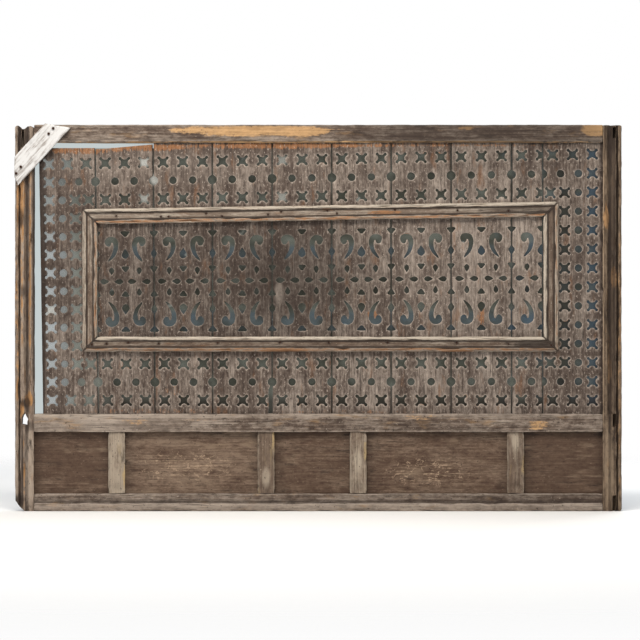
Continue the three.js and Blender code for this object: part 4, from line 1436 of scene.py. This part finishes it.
iron_finish = Finish("rusty_iron", "nail_iron")
iron_place = iron_finish.node("ShaderNodeTexCoord", {}, {}, 3)
iron_rust = iron_finish.noise(iron_place, (700, 700, 700), 4, 0.6)
iron_color = iron_finish.mix(iron_rust.clamped(0.35, 0.65), paint(38, 28, 24), paint(82, 54, 40))
iron_relief = {"Strength": 0.5, "Distance": 0.0006, "Height": iron_rust}
iron_bump = iron_finish.node("ShaderNodeBump", {}, iron_relief)
iron_metal = iron_rust.clamped(0.7, 0.4)
iron_finish.set(base_color=iron_color, roughness=0.85, metallic=iron_metal, normal=iron_bump)

points, faces = [], []
for x, z in brad_places:
    start = len(points)
    for reach, rise in BRAD_LAYERS:
        y = moulding_back - FLAT_HEIGHT + BRAD_SINK - BRAD_HEIGHT * rise
        for i in range(BRAD_SIDES):
            turn = math.tau * i / BRAD_SIDES
            points.append((x + BRAD_RADIUS * reach * math.cos(turn), y,
                           z + BRAD_RADIUS * reach * math.sin(turn)))
    faces += stacked(BRAD_SIDES, len(BRAD_LAYERS), start)
finish_piece("moulding_brads", points, faces, iron_finish, [], [])


# Lath: a strip of white-painted softwood nailed across the top left corner to hold the stile and
# rail together. Its paint is rubbed grey along the grain, and its nails are rusty.
LATH_WIDTH = 0.066
LATH_EASE = 0.0006
LATH_SKEWS = (0.015, 0.021)
LATH_HEAD = (0.130, -0.004)
LATH_FOOT = (-0.003, -0.150)
lath_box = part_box("corner_brace")
corner_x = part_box("left_stile")[0].x
lath_head = Vector((corner_x + LATH_HEAD[0], top_box[1].z + LATH_HEAD[1]))
lath_foot = Vector((corner_x + LATH_FOOT[0], top_box[1].z + LATH_FOOT[1]))
lath_up = (lath_head - lath_foot).normalized()
lath_across = Vector((lath_up.y, -lath_up.x))

lath_finish = Finish("white_lath", "painted_lath")
lath_grain = lath_finish.attribute("grain", 1)
lath_streak = lath_finish.noise(lath_grain, (9, 120, 120), 5, 0.65)
lath_patch = lath_finish.noise(lath_grain, (24, 40, 40), 4, 0.6)
lath_rub = (lath_streak * 0.9 + lath_patch * 0.5 + lath_finish.attribute("arris") * 0.12).clamped(0.68, 0.90)
lath_color = lath_finish.mix(lath_rub * 0.8, paint(206, 204, 201), paint(120, 108, 98))
lath_soot = lath_finish.noise(lath_grain, (14, 30, 30), 5, 0.7).clamped(0.52, 0.75)
lath_color = lath_finish.mix(lath_soot * 0.45, lath_color, paint(132, 128, 126))
lath_relief = {"Strength": 0.4, "Distance": 0.001, "Height": lath_streak}
lath_bump = lath_finish.node("ShaderNodeBump", {}, lath_relief)
lath_finish.set(base_color=lath_color, roughness=0.55 + lath_rub * 0.3, normal=lath_bump)


def on_lath(end, along, across):
    """A place beside one end of the lath, in its own directions."""
    return end + lath_up * along + lath_across * across


half = LATH_WIDTH / 2 - LATH_EASE
lath_corners = [
    on_lath(lath_foot, LATH_SKEWS[0], -half),
    on_lath(lath_foot, -LATH_SKEWS[0], half),
    on_lath(lath_head, LATH_SKEWS[1], half),
    on_lath(lath_head, -LATH_SKEWS[1], -half),
]


def clipped(corners, least_x):
    """Leaves out what lies beyond an upright line."""
    made = []
    for here, ahead in pairs(corners):
        if here.x >= least_x:
            made.append((here.x, here.y))
        if (here.x - least_x) * (ahead.x - least_x) < 0:
            at = here.lerp(ahead, (least_x - here.x) / (ahead.x - here.x))
            made.append((at.x, at.y))
    return made


lath_outline = ring_of(clipped(lath_corners, corner_x + LATH_EASE), rough=0.0005)
plate("painted_lath", lath_outline, [], (lath_box[0].y, lath_box[1].y), lath_finish, ["corner_brace"],
      60, way=lath_up, spacing=0.006)


# Nails: four cut nails that hold the lath, two to each end. The solids have all the shape of them
# that shows, so they stay, and take the brads' rusty iron.
for number in range(4):
    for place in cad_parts[f"brace_nail_{number + 1}"].material_slots:
        place.material = iron_finish.material
